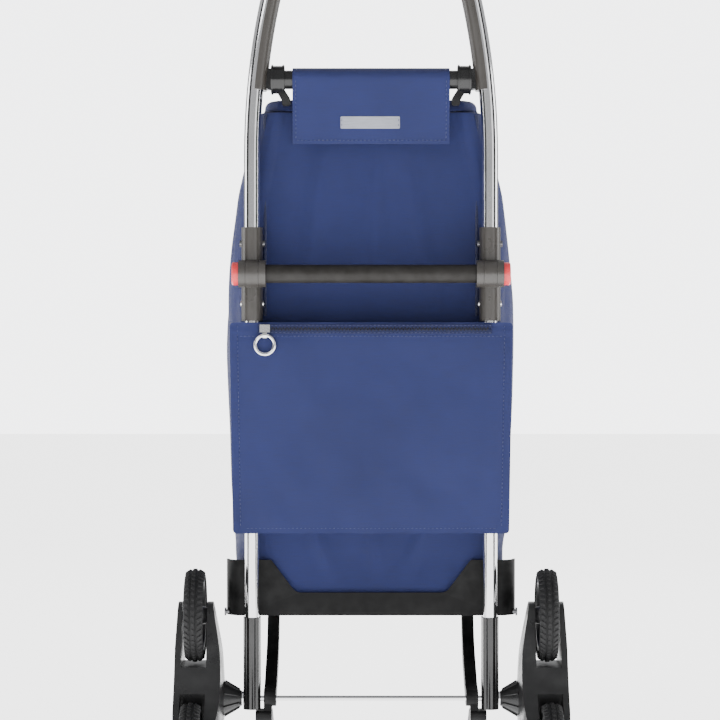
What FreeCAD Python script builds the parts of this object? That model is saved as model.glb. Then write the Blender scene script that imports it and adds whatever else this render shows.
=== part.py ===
import FreeCAD, Part
import math
import os
import re
import Sketcher
from FreeCAD import Placement, Rotation, Vector

# A folding two-wheel-set shopping trolley: an oval-tube frame whose handle half folds back over a
# hinge, two three-wheel climbing carriers on one axle, a tray that folds up, and a fabric bag.
# +X is the trolley's right, the handle side faces -Y, and the bag stands on the +Y side. While they
# are drawn, all pieces have the plane of the frame tubes at Y = 0; "finish" moves each one so that
# the origin lies on the floor in the middle of the whole trolley.

SIZES = [
    # alias, millimetres, meaning
    ("total_height", 1060, "floor to the top of the grip"),
    ("half_depth", 201, "middle of the trolley to the front of the tray"),
    ("tube_pitch", 140.2, "middle of the trolley to each frame tube"),
    ("upper_width", 19, "upper tube, across"),
    ("upper_depth", 28, "upper tube, front to back"),
    ("lower_width", 17, "lower tube, across"),
    ("lower_depth", 25, "lower tube, front to back"),
    ("tube_wall", 1.5, "wall of both tubes"),
    ("bend_start", 745, "height where the arch starts to curve in"),
    ("bend_radius", 871, "long curve of the arch"),
    ("corner_radius", 62, "top corners of the arch"),
    ("grip_wall", 4.5, "soft grip over the tube"),
    ("trim_stand", 4, "trim, inwards of the tube"),
    ("trim_wall", 1.6, "trim, front and back of the tube"),
    ("trim_foot", 821.5, "height of the trim's lower ends"),
    ("hinge_height", 604, "folding axis above the floor"),
    ("hinge_setback", 22, "folding axis behind the tubes"),
    ("drum_radius", 16, "round of the folding hinge"),
    ("knuckle_width", 24.8, "hinge knuckle, across"),
    ("knuckle_depth", 34, "hinge knuckle, front to back"),
    ("knuckle_reach", 55, "knuckle above and below the folding axis"),
    ("drum_inner", 123.4, "inner face of the hinge drum"),
    ("drum_outer", 155.3, "outer face of the hinge drum"),
    ("tongue_width", 15, "middle leaf of the hinge"),
    ("hinge_pin_radius", 4, "folding pin"),
    ("crossbar_radius", 10.75, "bar between the two hinges"),
    ("button_radius", 13.5, "release button"),
    ("button_stand", 7.9, "button proud of the drum"),
    ("button_travel", 4, "press of the button"),
    ("button_wall", 2.2, "shell of the button"),
    ("rivet_radius", 2.4, "rivets and knuckle screws"),
    ("rivet_head", 4, "radius of their heads"),
    ("rivet_drop", 34.5, "rivets below the folding axis"),
    ("screw_rise", 36, "screws above the folding axis"),
    ("bar_height", 834, "top bar above the floor"),
    ("bar_radius", 11, "top bar"),
    ("bar_forward", 3, "top bar in front of the tubes"),
    ("bar_half", 102, "half the length of the top bar"),
    ("bracket_radius", 16.5, "round end of the bar bracket"),
    ("bracket_outer", 118, "outer face of that round end"),
    ("axle_height", 104, "axle above the floor"),
    ("axle_radius", 3, "axle"),
    ("sleeve_width", 20.4, "leg sleeve, across"),
    ("sleeve_depth", 30, "leg sleeve, front to back"),
    ("sleeve_top", 200, "top of the leg sleeve"),
    ("sleeve_foot", 92, "bottom of the leg sleeve"),
    ("tube_foot", 114, "bottom of the lower tube"),
    ("washer_radius", 8.25, "axle washer"),
    ("washer_thick", 1.6, "axle washer"),
    ("lobe_radius", 98, "axle to each wheel's centre"),
    ("lobe_round", 16, "round of a carrier's tip"),
    ("waist_radius", 52, "axle to the hollow between two tips"),
    ("core_radius", 40.7, "axle to the floor of a wheel's slot"),
    ("slot_inner", 192.7, "inner side of the wheel slot"),
    ("slot_outer", 222, "outer side of the wheel slot"),
    ("carrier_outer", 229.5, "outer face of the carrier"),
    ("carrier_inner", 172.7, "inner face of the carrier at its hub"),
    ("cone_radius", 21, "foot of the carrier's cone"),
    ("cone_end", 152.2, "small end of the cone"),
    ("cone_tip_radius", 5.6, "small end of the cone"),
    ("bush_radius", 6, "bush between carrier and axle"),
    ("running_fit", 0.05, "gap round a pin that turns"),
    ("wheel_radius", 55, "wheel with its tyre"),
    ("tyre_width", 23, "tyre"),
    ("tyre_seat", 43, "rim under the tyre"),
    ("wheel_hub_radius", 13, "wheel hub"),
    ("wheel_hub_width", 28.3, "wheel hub"),
    ("wheel_pin_radius", 4, "wheel pin"),
    ("tray_half", 172, "half the width of the tray"),
    ("tray_top", 266, "top of the tray's back"),
    ("tray_bottom", 200.3, "bottom of the tray's back"),
    ("tray_wall", 3, "wall of the tray"),
    ("tray_notch_half", 89, "half the flat of the notch in the tray's back"),
    ("tray_notch_wide", 119, "half the mouth of that notch"),
    ("tray_notch_floor", 227.3, "floor of that notch"),
    ("wing_reach", 88, "tray sides in front of the tubes"),
    ("floor_half", 160, "half the width of the tray floor"),
    ("floor_top", 209, "top of the tray floor"),
    ("floor_thick", 4, "tray floor"),
    ("floor_lip", 7, "lip along its front"),
    ("tray_pivot_forward", 25, "tray hinge in front of the tubes"),
    ("tray_pivot_height", 203.8, "tray hinge above the floor"),
    ("tray_pin_radius", 2.5, "tray hinge pin"),
    ("barrel_radius", 4.8, "barrel round that pin"),
    ("leg_inner", 112, "inner face of a side leg"),
    ("leg_width", 14.3, "side leg, across"),
    ("foot_inner", 117, "inner face of the foot bar"),
    ("foot_width", 19, "foot bar, across"),
    ("pad_height", 9, "rubber foot pad"),
    ("bag_back", 18, "back of the bag in front of the tubes"),
    ("bag_depth", 226, "bag, front to back"),
    ("bag_wall", 3, "padded fabric of the bag"),
    ("bag_corner", 38, "upright corners of the bag"),
    ("bag_foot_half", 158, "half width of the bag at the tray"),
    ("bag_wide_half", 171, "half width of the bag where it is widest"),
    ("bag_wide_height", 574, "height where it is widest"),
    ("bag_neck_half", 153, "half width near the top"),
    ("bag_neck_height", 698, "height of that place"),
    ("bag_top_half", 126, "half width of the mouth"),
    ("bag_top", 798, "height of the mouth"),
    ("lid_height", 15, "lid above the mouth"),
    ("lid_apron", 62, "lid's front apron"),
    ("pocket_top", 547, "top of the back pocket"),
    ("pocket_bottom", 299.5, "bottom of the back pocket"),
    ("pocket_top_half", 166, "half width at its top"),
    ("pocket_bottom_half", 162, "half width at its bottom"),
    ("pocket_back", 17.5, "back of the pocket behind the tubes"),
    ("pocket_wall", 3, "pocket fabric"),
    ("zip_height", 539.4, "zip above the floor"),
    ("zip_left", -133, "left end of the zip"),
    ("zip_right", 141.6, "right end of the zip"),
    ("zip_band", 11, "zip tape, up and down"),
    ("zip_thick", 1.2, "zip tape"),
    ("slider_place", -124.5, "slider when the pocket is closed"),
    ("slider_width", 12, "zip slider, across"),
    ("slider_thick", 4.6, "zip slider, front to back"),
    ("ring_radius", 11.2, "pull ring, to the middle of its wire"),
    ("ring_wire", 2.2, "half the wire of the pull ring"),
    ("flap_half", 93, "half the width of the hanging flap"),
    ("flap_bottom", 757.8, "bottom of the hanging flap"),
    ("flap_thick", 2.2, "hanging flap"),
    ("soft_gap", 0.6, "gap between fabric and hard pieces"),
    ("part_gap", 0.3, "gap between pieces that move past each other"),
]

doc = FreeCAD.newDocument("FoldingShoppingTrolley")
sheet = doc.addObject("Spreadsheet::Sheet", "Sizes")
for row, (alias, number, meaning) in enumerate(SIZES, 1):
    sheet.set("A%d" % row, meaning)
    sheet.set("B%d" % row, str(number))
    sheet.setAlias("B%d" % row, alias)
doc.recompute()

NODES = {}
FORWARD = {}
TUBE_PLANE = "lobe_radius * cos(30 deg) + wheel_radius - half_depth"


def in_sheet(formula):
    """Turn the plain words of a formula into references to the sheet."""
    return re.sub(r"\b([a-z]+(?:_[a-z]+)+)\b", r"Sizes.\1", str(formula))


def value(formula):
    """The number that a formula gives on the sheet."""
    result = sheet.evalExpression(in_sheet(formula))
    return float(getattr(result, "Value", result))


def bind(item, formulas):
    """Tie an object's properties to formulas on the sheet."""
    for name, formula in formulas.items():
        item.setExpression(name, in_sheet(formula))


def place(item, across="0", forward="0", height="0"):
    """Put an object at three formulas and remember how far forward it stands."""
    FORWARD[item.Name] = forward
    bind(item, {"Placement.Base.x": across, "Placement.Base.y": forward, "Placement.Base.z": height})
    return item


def block(across, forward, height):
    """A box between pairs of formulas."""
    item = doc.addObject("Part::Box", "Block")
    sides = {"Length": across, "Width": forward, "Height": height}
    bind(item, {side: "(%s) - (%s)" % (ends[1], ends[0]) for side, ends in sides.items()})
    return place(item, across[0], forward[0], height[0])


def rod(radius, across, forward="0", height="0"):
    """A round bar that lies along X."""
    item = doc.addObject("Part::Cylinder", "Rod")
    bind(item, {"Radius": radius, "Height": "(%s) - (%s)" % (across[1], across[0])})
    item.Placement = Placement(Vector(), Rotation(Vector(0, 1, 0), 90))
    return place(item, across[0], forward, height)


def cone(radii, across, forward="0", height="0"):
    """A cone that lies along X, from its first radius to its second."""
    item = doc.addObject("Part::Cone", "Cone")
    length = "(%s) - (%s)" % (across[1], across[0])
    bind(item, {"Radius1": radii[0], "Radius2": radii[1], "Height": length})
    item.Placement = Placement(Vector(), Rotation(Vector(0, 1, 0), 90))
    return place(item, across[0], forward, height)


def cut(base, *tools):
    for tool in tools:
        result = doc.addObject("Part::Cut", "Cut")
        result.Base = base
        result.Tool = tool
        base = result
    return base


def fuse(*items):
    result = doc.addObject("Part::MultiFuse", "Fuse")
    result.Shapes = list(items)
    result.Refine = True
    return result


def common(*items):
    result = doc.addObject("Part::MultiCommon", "Common")
    result.Shapes = list(items)
    return result


def mirrored(item):
    result = doc.addObject("Part::Mirroring", "Mirror")
    result.Source = item
    result.Normal = Vector(1, 0, 0)
    return result


def group(*items):
    result = doc.addObject("Part::Compound", "Group")
    result.Links = list(items)
    return result


def finish(label, item):
    """Name a piece and move it from the drawing position to the trolley's own frame."""
    item.Label = label
    forward = "(%s) + (%s)" % (FORWARD.get(item.Name, "0"), TUBE_PLANE)
    bind(item, {"Placement.Base.y": forward})
    NODES[label] = item
    return item


def finish_pair(label, item):
    """Finish a piece of the right side and its mirror image on the left."""
    right = finish(label + "_right", item)
    left = mirrored(right)
    left.Label = label + "_left"
    NODES[left.Label] = left
    return right


def finish_group(label, item):
    """Finish one node that holds a right piece and its mirror image."""
    return finish(label, group(item, mirrored(item)))


def new_body():
    return doc.addObject("PartDesign::Body", "Body")


def sketch_on(body, role, offset="0", across="0", tilt=0):
    """A sketch on one of the body's own origin planes, moved along its normal and its X axis."""
    sketch = body.newObject("Sketcher::SketchObject", "Sketch")
    plane = [item for item in body.Origin.OriginFeatures if item.Role == role][0]
    sketch.AttachmentSupport = [(plane, "")]
    sketch.MapMode = "FlatFace"
    sketch.AttachmentOffset = Placement(Vector(), Rotation(Vector(0, 1, 0), tilt))
    bind(sketch, {"AttachmentOffset.Base.z": offset, "AttachmentOffset.Base.x": across})
    return sketch


def joined(sketch, curves):
    """Join each curve's end to the next one's start; a curve is (index, start vertex, end vertex)."""
    for (one, _, end), (two, start, _) in zip(curves, curves[1:] + curves[:1]):
        sketch.addConstraint(Sketcher.Constraint("Coincident", one, end, two, start))


def outline(sketch, corners):
    """A closed outline through corners (across, up, radius), each rounded by its radius."""
    arcs = []
    for i, corner in enumerate(corners):
        here = Vector(corner[0], corner[1], 0)
        before = Vector(corners[i - 1][0], corners[i - 1][1], 0)
        after = Vector(corners[(i + 1) % len(corners)][0], corners[(i + 1) % len(corners)][1], 0)
        into = (here - before).normalize()
        out = (after - here).normalize()
        turn = into.getAngle(out)
        reach = corner[2] * math.tan(turn / 2)
        middle = here
        if corner[2]:
            middle = here + (out - into).normalize() * corner[2] * (1 / math.cos(turn / 2) - 1)
        left_turn = into.cross(out).z > 0
        arcs.append((here - into * reach, middle, here + out * reach, corner[2], left_turn))
    drawn = []
    for i, (first, middle, last, radius, left_turn) in enumerate(arcs):
        if radius:
            index = sketch.addGeometry(Part.Arc(first, middle, last))
            drawn.append((index, 1, 2) if left_turn else (index, 2, 1))
        following = arcs[(i + 1) % len(arcs)][0]
        if last.distanceToPoint(following) > 1e-6:
            drawn.append((sketch.addGeometry(Part.LineSegment(last, following)), 1, 2))
    joined(sketch, drawn)


def flat_oval(sketch, width, depth):
    """A straight-sided oval round the sketch's origin, its size tied to the sheet."""
    radius = value(width) / 2
    centre = value(depth) / 2 - radius
    ends = [Vector(radius, -centre), Vector(radius, centre), Vector(-radius, centre), Vector(-radius, -centre)]
    right = sketch.addGeometry(Part.LineSegment(ends[0], ends[1]))
    top = sketch.addGeometry(Part.Arc(ends[1], Vector(0, centre + radius), ends[2]))
    left = sketch.addGeometry(Part.LineSegment(ends[2], ends[3]))
    bottom = sketch.addGeometry(Part.Arc(ends[3], Vector(0, -centre - radius), ends[0]))
    curves = [right, top, left, bottom]
    for one, two in zip(curves, curves[1:] + curves[:1]):
        sketch.addConstraint(Sketcher.Constraint("Tangent", one, 2, two, 1))
    sketch.addConstraint(Sketcher.Constraint("Vertical", right))
    sketch.addConstraint(Sketcher.Constraint("Symmetric", top, 3, bottom, 3, -1, 1))
    across = sketch.addConstraint(Sketcher.Constraint("Radius", top, radius))
    along = sketch.addConstraint(Sketcher.Constraint("DistanceY", bottom, 3, top, 3, 2 * centre))
    sketch.setExpression("Constraints[%d]" % across, in_sheet("(%s) / 2" % width))
    sketch.setExpression("Constraints[%d]" % along, in_sheet("(%s) - (%s)" % (depth, width)))


def pad(body, sketch, length, middle=False):
    feature = body.newObject("PartDesign::Pad", "Pad")
    feature.Profile = sketch
    feature.Midplane = middle
    bind(feature, {"Length": length})
    body.Tip = feature
    return feature


def prism(role, corners, length, offset="0"):
    """An outline padded along its plane's normal."""
    body = new_body()
    sketch = sketch_on(body, role, offset)
    outline(sketch, corners)
    pad(body, sketch, length)
    return body


def oval_bar(width, depth, bottom, top, across):
    """An upright solid bar of flat-oval section."""
    body = new_body()
    sketch = sketch_on(body, "XY_Plane", bottom)
    flat_oval(sketch, width, depth)
    pad(body, sketch, "(%s) - (%s)" % (top, bottom))
    return place(body, across)


def turned(corners):
    """An outline of (across, radius out, corner) turned round the X axis."""
    body = new_body()
    sketch = sketch_on(body, "XZ_Plane")
    outline(sketch, corners)
    feature = body.newObject("PartDesign::Revolution", "Revolution")
    feature.Profile = sketch
    feature.ReferenceAxis = (sketch, ["H_Axis"])
    feature.Angle = 360
    body.Tip = feature
    return body


def oval_tube(width, depth, wall, bottom, top, across):
    """An upright hollow tube of flat-oval section."""
    body = new_body()
    sketch = sketch_on(body, "XY_Plane", bottom)
    flat_oval(sketch, width, depth)
    flat_oval(sketch, "%s - 2 * %s" % (width, wall), "%s - 2 * %s" % (depth, wall))
    pad(body, sketch, "(%s) - (%s)" % (top, bottom))
    return place(body, across)


# ---- hinge: an ear either side of a tongue, round one pin ----
TONGUE = ["(drum_inner + drum_outer) / 2 %s tongue_width / 2" % side for side in "-+"]
TONGUE_ROOM = [TONGUE[0] + " - part_gap", TONGUE[1] + " + part_gap"]
EAR_INSIDE = ["drum_inner - part_gap", TONGUE_ROOM[0]]
EAR_OUTSIDE = [TONGUE_ROOM[1], "drum_outer + part_gap"]
DRUM_ROOM = "drum_radius + 2 * part_gap"
AXIS = {"forward": "-hinge_setback", "height": "hinge_height"}
RECESS_FLOOR = "drum_outer - button_travel - 1.6 * part_gap - 1"
KNUCKLE_SIDES = ["tube_pitch - knuckle_width / 2", "tube_pitch + knuckle_width / 2"]
TUBE_STOP = "(drum_radius + 1)"


def rivet(height, head):
    """A rivet through a knuckle and its tube, with a low head at each end."""
    shank = rod("rivet_radius", KNUCKLE_SIDES, height=height)
    inner = rod("rivet_head", [KNUCKLE_SIDES[0] + " - %s" % head, KNUCKLE_SIDES[0]], height=height)
    outer = rod("rivet_head", [KNUCKLE_SIDES[1], KNUCKLE_SIDES[1] + " + %s" % head], height=height)
    return fuse(shank, inner, outer)


def lower_knuckle():
    sleeve = oval_bar("knuckle_width", "knuckle_depth", "hinge_height - knuckle_reach",
                      "hinge_height - part_gap", "tube_pitch")
    drum = rod("drum_radius", ["drum_inner", "drum_outer"], **AXIS)
    bore = oval_bar("lower_width", "lower_depth", "hinge_height - knuckle_reach - 1",
                    "hinge_height - " + TUBE_STOP, "tube_pitch")
    tongue_room = rod(DRUM_ROOM, TONGUE_ROOM, **AXIS)
    pin_hole = rod("hinge_pin_radius", ["drum_inner", RECESS_FLOOR], **AXIS)
    recess = rod("button_radius + part_gap", [RECESS_FLOOR, "drum_outer"], **AXIS)
    rivet_hole = rod("rivet_radius", KNUCKLE_SIDES, height="hinge_height - rivet_drop")
    return cut(fuse(sleeve, drum), bore, tongue_room, pin_hole, recess, rivet_hole)


def upper_knuckle():
    sleeve = oval_bar("knuckle_width", "knuckle_depth", "hinge_height + part_gap",
                      "hinge_height + knuckle_reach", "tube_pitch")
    bore = oval_bar("upper_width", "upper_depth", "hinge_height + " + TUBE_STOP,
                    "hinge_height + knuckle_reach + 1", "tube_pitch")
    tongue = rod("drum_radius", TONGUE, **AXIS)
    inside_room = rod(DRUM_ROOM, EAR_INSIDE, **AXIS)
    outside_room = rod(DRUM_ROOM, EAR_OUTSIDE, **AXIS)
    pin_hole = rod("hinge_pin_radius + running_fit", TONGUE_ROOM, **AXIS)
    screw_hole = rod("rivet_radius", KNUCKLE_SIDES, height="hinge_height + screw_rise")
    hollow = cut(sleeve, bore, inside_room, outside_room, screw_hole)
    return cut(fuse(hollow, tongue), pin_hole)


def release_button():
    """A cup with a stem that slides in the hollow folding pin."""
    rim = value("drum_outer - 1.6 * part_gap - 0.9")
    face = value("drum_outer + button_stand")
    roof = value("drum_outer + button_stand - button_wall")
    outside = value("button_radius")
    inside = value("button_radius - button_wall")
    stem = value("hinge_pin_radius / 2")
    stem_end = value("drum_outer - hinge_pin_radius * 2.5")
    body = turned([
        (stem_end, 0, 0), (stem_end, stem, 0), (roof, stem, 0), (roof, inside, 1),
        (rim, inside, 0), (rim, outside, 0), (face, outside, 2.2), (face, 0, 0)])
    return place(body, **AXIS)


def button_spring():
    """A coil spring between the recess and the button's roof."""
    wire = 0.6
    coil = doc.addObject("Part::Helix", "Coil")
    start = "(%s) + %s" % (RECESS_FLOOR, wire + 0.1)
    length = "(drum_outer + button_stand - button_wall - %s) - (%s)" % (wire + 0.1, start)
    bind(coil, {"Radius": "button_radius / 2", "Height": length, "Pitch": "(%s) / 3" % length})
    section = doc.addObject("Part::Circle", "Wire")
    bind(section, {"Radius": wire, "Placement.Base.x": "button_radius / 2"})
    section.Placement = Placement(section.Placement.Base, Rotation(Vector(1, 0, 0), 90))
    spring = doc.addObject("Part::Sweep", "Spring")
    doc.recompute()
    spring.Sections = [section]
    spring.Spine = (coil, ["Edge1"])
    spring.Solid = True
    spring.Frenet = True
    spring.Placement = Placement(Vector(), Rotation(Vector(0, 1, 0), 90))
    return place(spring, start, **AXIS)


finish_pair("lower_knuckle", lower_knuckle())
finish_pair("upper_knuckle", upper_knuckle())
folding_pin = cut(rod("hinge_pin_radius", ["drum_inner", RECESS_FLOOR], **AXIS),
                  rod("hinge_pin_radius / 2 + 2 * part_gap", ["drum_inner + 4", "drum_outer"], **AXIS))
finish_group("folding_pins", folding_pin)
finish_pair("release_button", release_button())
finish_pair("button_spring", button_spring())
finish_group("knuckle_rivets", rivet("hinge_height - rivet_drop", "1.4"))
finish_group("knuckle_screws", rivet("hinge_height + screw_rise", "2.4"))

CROSSBAR = ["-drum_inner", "drum_inner"]
finish("hinge_crossbar", cut(rod("crossbar_radius", CROSSBAR, **AXIS),
                             rod("crossbar_radius - tube_wall", CROSSBAR, **AXIS)))

# ---- lower tubes, leg sleeves and the axle ----
lower_tube = cut(
    oval_tube("lower_width", "lower_depth", "tube_wall", "tube_foot", "hinge_height - " + TUBE_STOP,
              "tube_pitch"),
    rod("rivet_radius", KNUCKLE_SIDES, height="hinge_height - rivet_drop"))
finish_pair("lower_tube", lower_tube)

sleeve_bar = oval_bar("sleeve_width", "sleeve_depth", "sleeve_foot", "sleeve_top", "tube_pitch")
sleeve_bore = oval_bar("lower_width", "lower_depth", "tube_foot", "sleeve_top + 1", "tube_pitch")
axle_hole = rod("axle_radius", ["0", "carrier_outer"], height="axle_height")
finish_pair("leg_sleeve", cut(sleeve_bar, sleeve_bore, axle_hole))

AXLE_END = "carrier_outer - 1.5"
finish("axle", rod("axle_radius", ["-(%s)" % AXLE_END, AXLE_END], height="axle_height"))
SLEEVE_FACE = "tube_pitch + sleeve_width / 2"
washer = cut(rod("washer_radius", [SLEEVE_FACE, SLEEVE_FACE + " + washer_thick"], height="axle_height"),
             axle_hole)
finish_group("axle_washers", washer)

# ---- climbing carriers: two shells that meet in the middle of the wheel slot ----
SLOT_MIDDLE = "(slot_inner + slot_outer) / 2"
WHEEL_ANGLES = {"top": 90, "rear": 210, "front": 330}
CAP_RADIUS = "bush_radius + 4.5"
CAP_DEPTH = 5.5
WHEEL_PIN = ["slot_inner - 4", "slot_outer + 4"]


def polar(radius, degrees):
    return radius * math.cos(math.radians(degrees)), radius * math.sin(math.radians(degrees))


def carrier_outline():
    """Three rounded tips with hollow flanks, as (forward, up, radius) corners round the axle."""
    half_tip = value("lobe_round") * 0.92
    end = value("lobe_radius + lobe_round")
    valley = value("waist_radius") - 12
    flank = math.degrees(math.atan2(valley * math.sin(math.pi / 3) - half_tip,
                                    end - valley * math.cos(math.pi / 3)))
    half_turn = math.radians(30 - flank)
    hollow = (value("waist_radius") - valley) / (1 / math.cos(half_turn) - 1)
    corners = []
    for angle in sorted(WHEEL_ANGLES.values()):
        for side in (-1, 1):
            forward, up = polar(math.hypot(end, half_tip),
                                angle + side * math.degrees(math.atan2(half_tip, end)))
            corners.append((forward, up, value("lobe_round")))
        corners.append(polar(valley, angle + 60) + (hollow,))
    return corners


def carrier_core(across):
    """The block between the plates, flat towards each wheel."""
    reach = value("core_radius") * 2
    three_sides = [polar(reach, angle + 60) + (0,) for angle in sorted(WHEEL_ANGLES.values())]
    length = "(%s) - (%s)" % (across[1], across[0])
    bodies = [prism("YZ_Plane", corners, length, across[0]) for corners in (three_sides, carrier_outline())]
    for body in bodies:
        place(body, height="axle_height")
    return common(*bodies)


def pin_bores():
    """Holes for the three wheel pins."""
    bores = []
    for angle in WHEEL_ANGLES.values():
        bores.append(rod("wheel_pin_radius", WHEEL_PIN, "lobe_radius * cos(%d deg)" % angle,
                         "axle_height + lobe_radius * sin(%d deg)" % angle))
    return bores


def carrier_outer():
    plate = place(prism("YZ_Plane", carrier_outline(), "carrier_outer - slot_outer", "slot_outer"),
                  height="axle_height")
    edge = value("carrier_outer")
    dome = place(turned([
        (value("slot_outer"), 0, 0), (value("slot_outer"), value("lobe_radius + lobe_round + 2"), 0),
        (edge - 3, value("lobe_radius + lobe_round + 2"), 0), (edge, value("lobe_radius") * 0.7, 60),
        (edge, 0, 0)]), height="axle_height")
    shell = fuse(common(plate, dome), carrier_core([SLOT_MIDDLE, "slot_outer"]))
    recess = rod(CAP_RADIUS + " + part_gap", ["carrier_outer - %s" % CAP_DEPTH, "carrier_outer + 1"],
                 height="axle_height")
    bore = rod("bush_radius", [SLOT_MIDDLE, "carrier_outer"], height="axle_height")
    return cut(shell, recess, bore, *pin_bores())


def carrier_inner():
    face = value("slot_inner")
    tip = value("lobe_radius + lobe_round + 2")
    hub = value("carrier_inner")
    plate = place(prism("YZ_Plane", carrier_outline(), "slot_inner - cone_end", "cone_end"),
                  height="axle_height")
    rise = (face - hub) / 20
    dome = place(turned([
        (face, 0, 0), (face, tip, 0), (face - 6.3 * rise, tip, 0),
        (hub + 3.7 * rise, value("lobe_radius") * 0.64, 90), (hub, value("cone_radius") * 0.9, 0),
        (hub, 0, 0)]), height="axle_height")
    nose = cone(["cone_tip_radius + bush_radius / 2", "cone_radius"], ["cone_end", "carrier_inner + 1"],
                height="axle_height")
    shell = fuse(common(plate, dome), nose, carrier_core(["slot_inner", SLOT_MIDDLE]))
    bore = rod("bush_radius", ["cone_end", SLOT_MIDDLE], height="axle_height")
    return cut(shell, bore, *pin_bores())


finish_pair("carrier_outer", carrier_outer())
finish_pair("carrier_inner", carrier_inner())
BUSH = ["cone_end", "carrier_outer - %s" % CAP_DEPTH]
finish_pair("carrier_bush", cut(rod("bush_radius", BUSH, height="axle_height"),
                                rod("axle_radius + running_fit", BUSH, height="axle_height")))
wheel_pins = group(*pin_bores())
finish_pair("wheel_pins", wheel_pins)
cap_start = value("carrier_outer + part_gap") - CAP_DEPTH
cap_round = value(CAP_RADIUS)
hub_cap = place(turned([
    (cap_start, 0, 0), (cap_start, cap_round, 0), (value("carrier_outer"), cap_round, 1.5),
    (value("carrier_outer") + 2, 0, 0)]), height="axle_height")
finish_pair("hub_cap", cut(hub_cap, rod("axle_radius", ["cone_end", AXLE_END], height="axle_height")))


def tyre():
    half = value("tyre_width") / 2
    tread = value("wheel_radius")
    seat = value("tyre_seat")
    shoulder = seat + 5
    crown = 0.85 * (tread - shoulder)
    return turned([(-half + 1.5, seat, 0), (-half, shoulder, 0), (-half, tread, crown),
                   (half, tread, crown), (half, shoulder, 0), (half - 1.5, seat, 0)])


def rim():
    """Hub, five-window web and tyre seat of a wheel."""
    half = value("tyre_width") / 2 - 1.5
    seat = value("tyre_seat")
    hub = value("wheel_hub_radius")
    hub_half = value("wheel_hub_width") / 2
    web = 2.5
    body = turned([
        (-hub_half, value("wheel_pin_radius + running_fit"), 0), (-hub_half, hub * 0.7, 0),
        (-web, hub, 3), (-web, seat - 7, 2), (-half, seat - 4, 0), (-half, seat, 0), (half, seat, 0),
        (half, seat - 4, 0), (web, seat - 7, 2), (web, hub, 3), (hub_half, hub * 0.7, 0),
        (hub_half, value("wheel_pin_radius + running_fit"), 0)])
    sketch = sketch_on(body, "YZ_Plane", "-%s" % (web + 1))
    outline(sketch, [(hub + 3, -2.5, 1.5), (seat - 11, -7.5, 4), (seat - 11, 7.5, 4), (hub + 3, 2.5, 1.5)])
    window = body.newObject("PartDesign::Pocket", "Window")
    window.Profile = sketch
    window.Reversed = True
    window.Length = 2 * web + 2
    doc.recompute()
    windows = body.newObject("PartDesign::PolarPattern", "Windows")
    windows.Originals = [window]
    windows.Axis = (sketch, ["N_Axis"])
    windows.Angle = 360
    windows.Occurrences = 5
    body.Tip = windows
    return body


for name, angle in WHEEL_ANGLES.items():
    SPOT = [SLOT_MIDDLE, "lobe_radius * cos(%d deg)" % angle,
            "axle_height + lobe_radius * sin(%d deg)" % angle]
    finish_pair("tyre_" + name, place(tyre(), *SPOT))
    finish_pair("rim_" + name, place(rim(), *SPOT))

# ---- side legs: an arm up to the tray and a bar down to the floor, round the axle ----
FOOT_TIP = 226
LEG_BOSS = 9
ARM_TOP = value("floor_top - floor_thick - part_gap")
ARM_HEEL = 132
ARM_TOE = 150
axle_up = value("axle_height")
pad_top = value("pad_height")
arm = prism("YZ_Plane", [
    (-LEG_BOSS, axle_up - LEG_BOSS, 8), (14, axle_up - LEG_BOSS, 10), (118, 140, 90),
    (ARM_TOE, ARM_TOP, 0), (ARM_HEEL, ARM_TOP, 0), (100, 158, 70), (20, axle_up + 13, 20),
    (-LEG_BOSS, axle_up + LEG_BOSS, 8)], "leg_width", "leg_inner")
bar_top = value("sleeve_foot") - 2.5
foot_bar = prism("YZ_Plane", [
    (-LEG_BOSS, bar_top, 4), (30, bar_top, 60), (150, 24, 120), (FOOT_TIP, pad_top + 5, 5),
    (FOOT_TIP, pad_top, 0), (150, pad_top, 80), (26, bar_top - 18, 60),
    (-LEG_BOSS, bar_top - 12, 7)], "foot_width", "foot_inner")
saddle = block(["foot_inner", "leg_inner + leg_width"], ["-6", "12"],
               ["sleeve_foot - 8", "axle_height - 6"])
finish_pair("side_leg", cut(fuse(arm, foot_bar, saddle), axle_hole))
PAD_HEEL = FOOT_TIP - 38
foot_pad = block(["foot_inner - 0.5", "foot_inner + foot_width + 0.5"],
                 [str(PAD_HEEL), str(FOOT_TIP)], ["0", "pad_height"])
finish_group("foot_pads", foot_pad)

# ---- tray: a fixed back with two side wings, and a floor that folds up ----
wing = value("wing_reach")
side = value("tray_half")
wall = value("tray_wall")
back = value("lower_depth") / 2
bend = 22
tray_shell = prism("XY_Plane", [
    (side, back, bend), (side, wing, 0), (side - wall, wing, 0), (side - wall, back + wall, bend - wall),
    (wall - side, back + wall, bend - wall), (wall - side, wing, 0), (-side, wing, 0),
    (-side, back, bend)], "tray_top - tray_bottom", "tray_bottom")
notch = prism("XZ_Plane", [
    (value("tray_notch_half"), value("tray_notch_floor"), 12),
    (value("tray_notch_wide"), value("tray_top") + 1, 0),
    (-value("tray_notch_wide"), value("tray_top") + 1, 0),
    (-value("tray_notch_half"), value("tray_notch_floor"), 12)], "lower_depth", "-lower_depth - 5")
wing_slope = prism("YZ_Plane", [
    (back + 22, value("tray_top") + 1, 0), (wing + 1, value("tray_top") + 1, 0),
    (wing + 1, value("floor_top") + 14, 0), (wing - 16, value("floor_top") + 16, 30)],
    "2 * tray_half + 2", "-tray_half - 1")
wing_toe = prism("YZ_Plane", [
    (wing + 1, value("tray_bottom") - 1, 0), (wing + 1, value("tray_bottom") + 12, 0),
    (wing - 14, value("tray_bottom") - 1, 0)], "2 * tray_half + 2", "-tray_half - 1")
PIVOT = {"forward": "tray_pivot_forward", "height": "tray_pivot_height"}
PIN_SPAN = ["-tray_half - 1.5", "tray_half + 1.5"]
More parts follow.
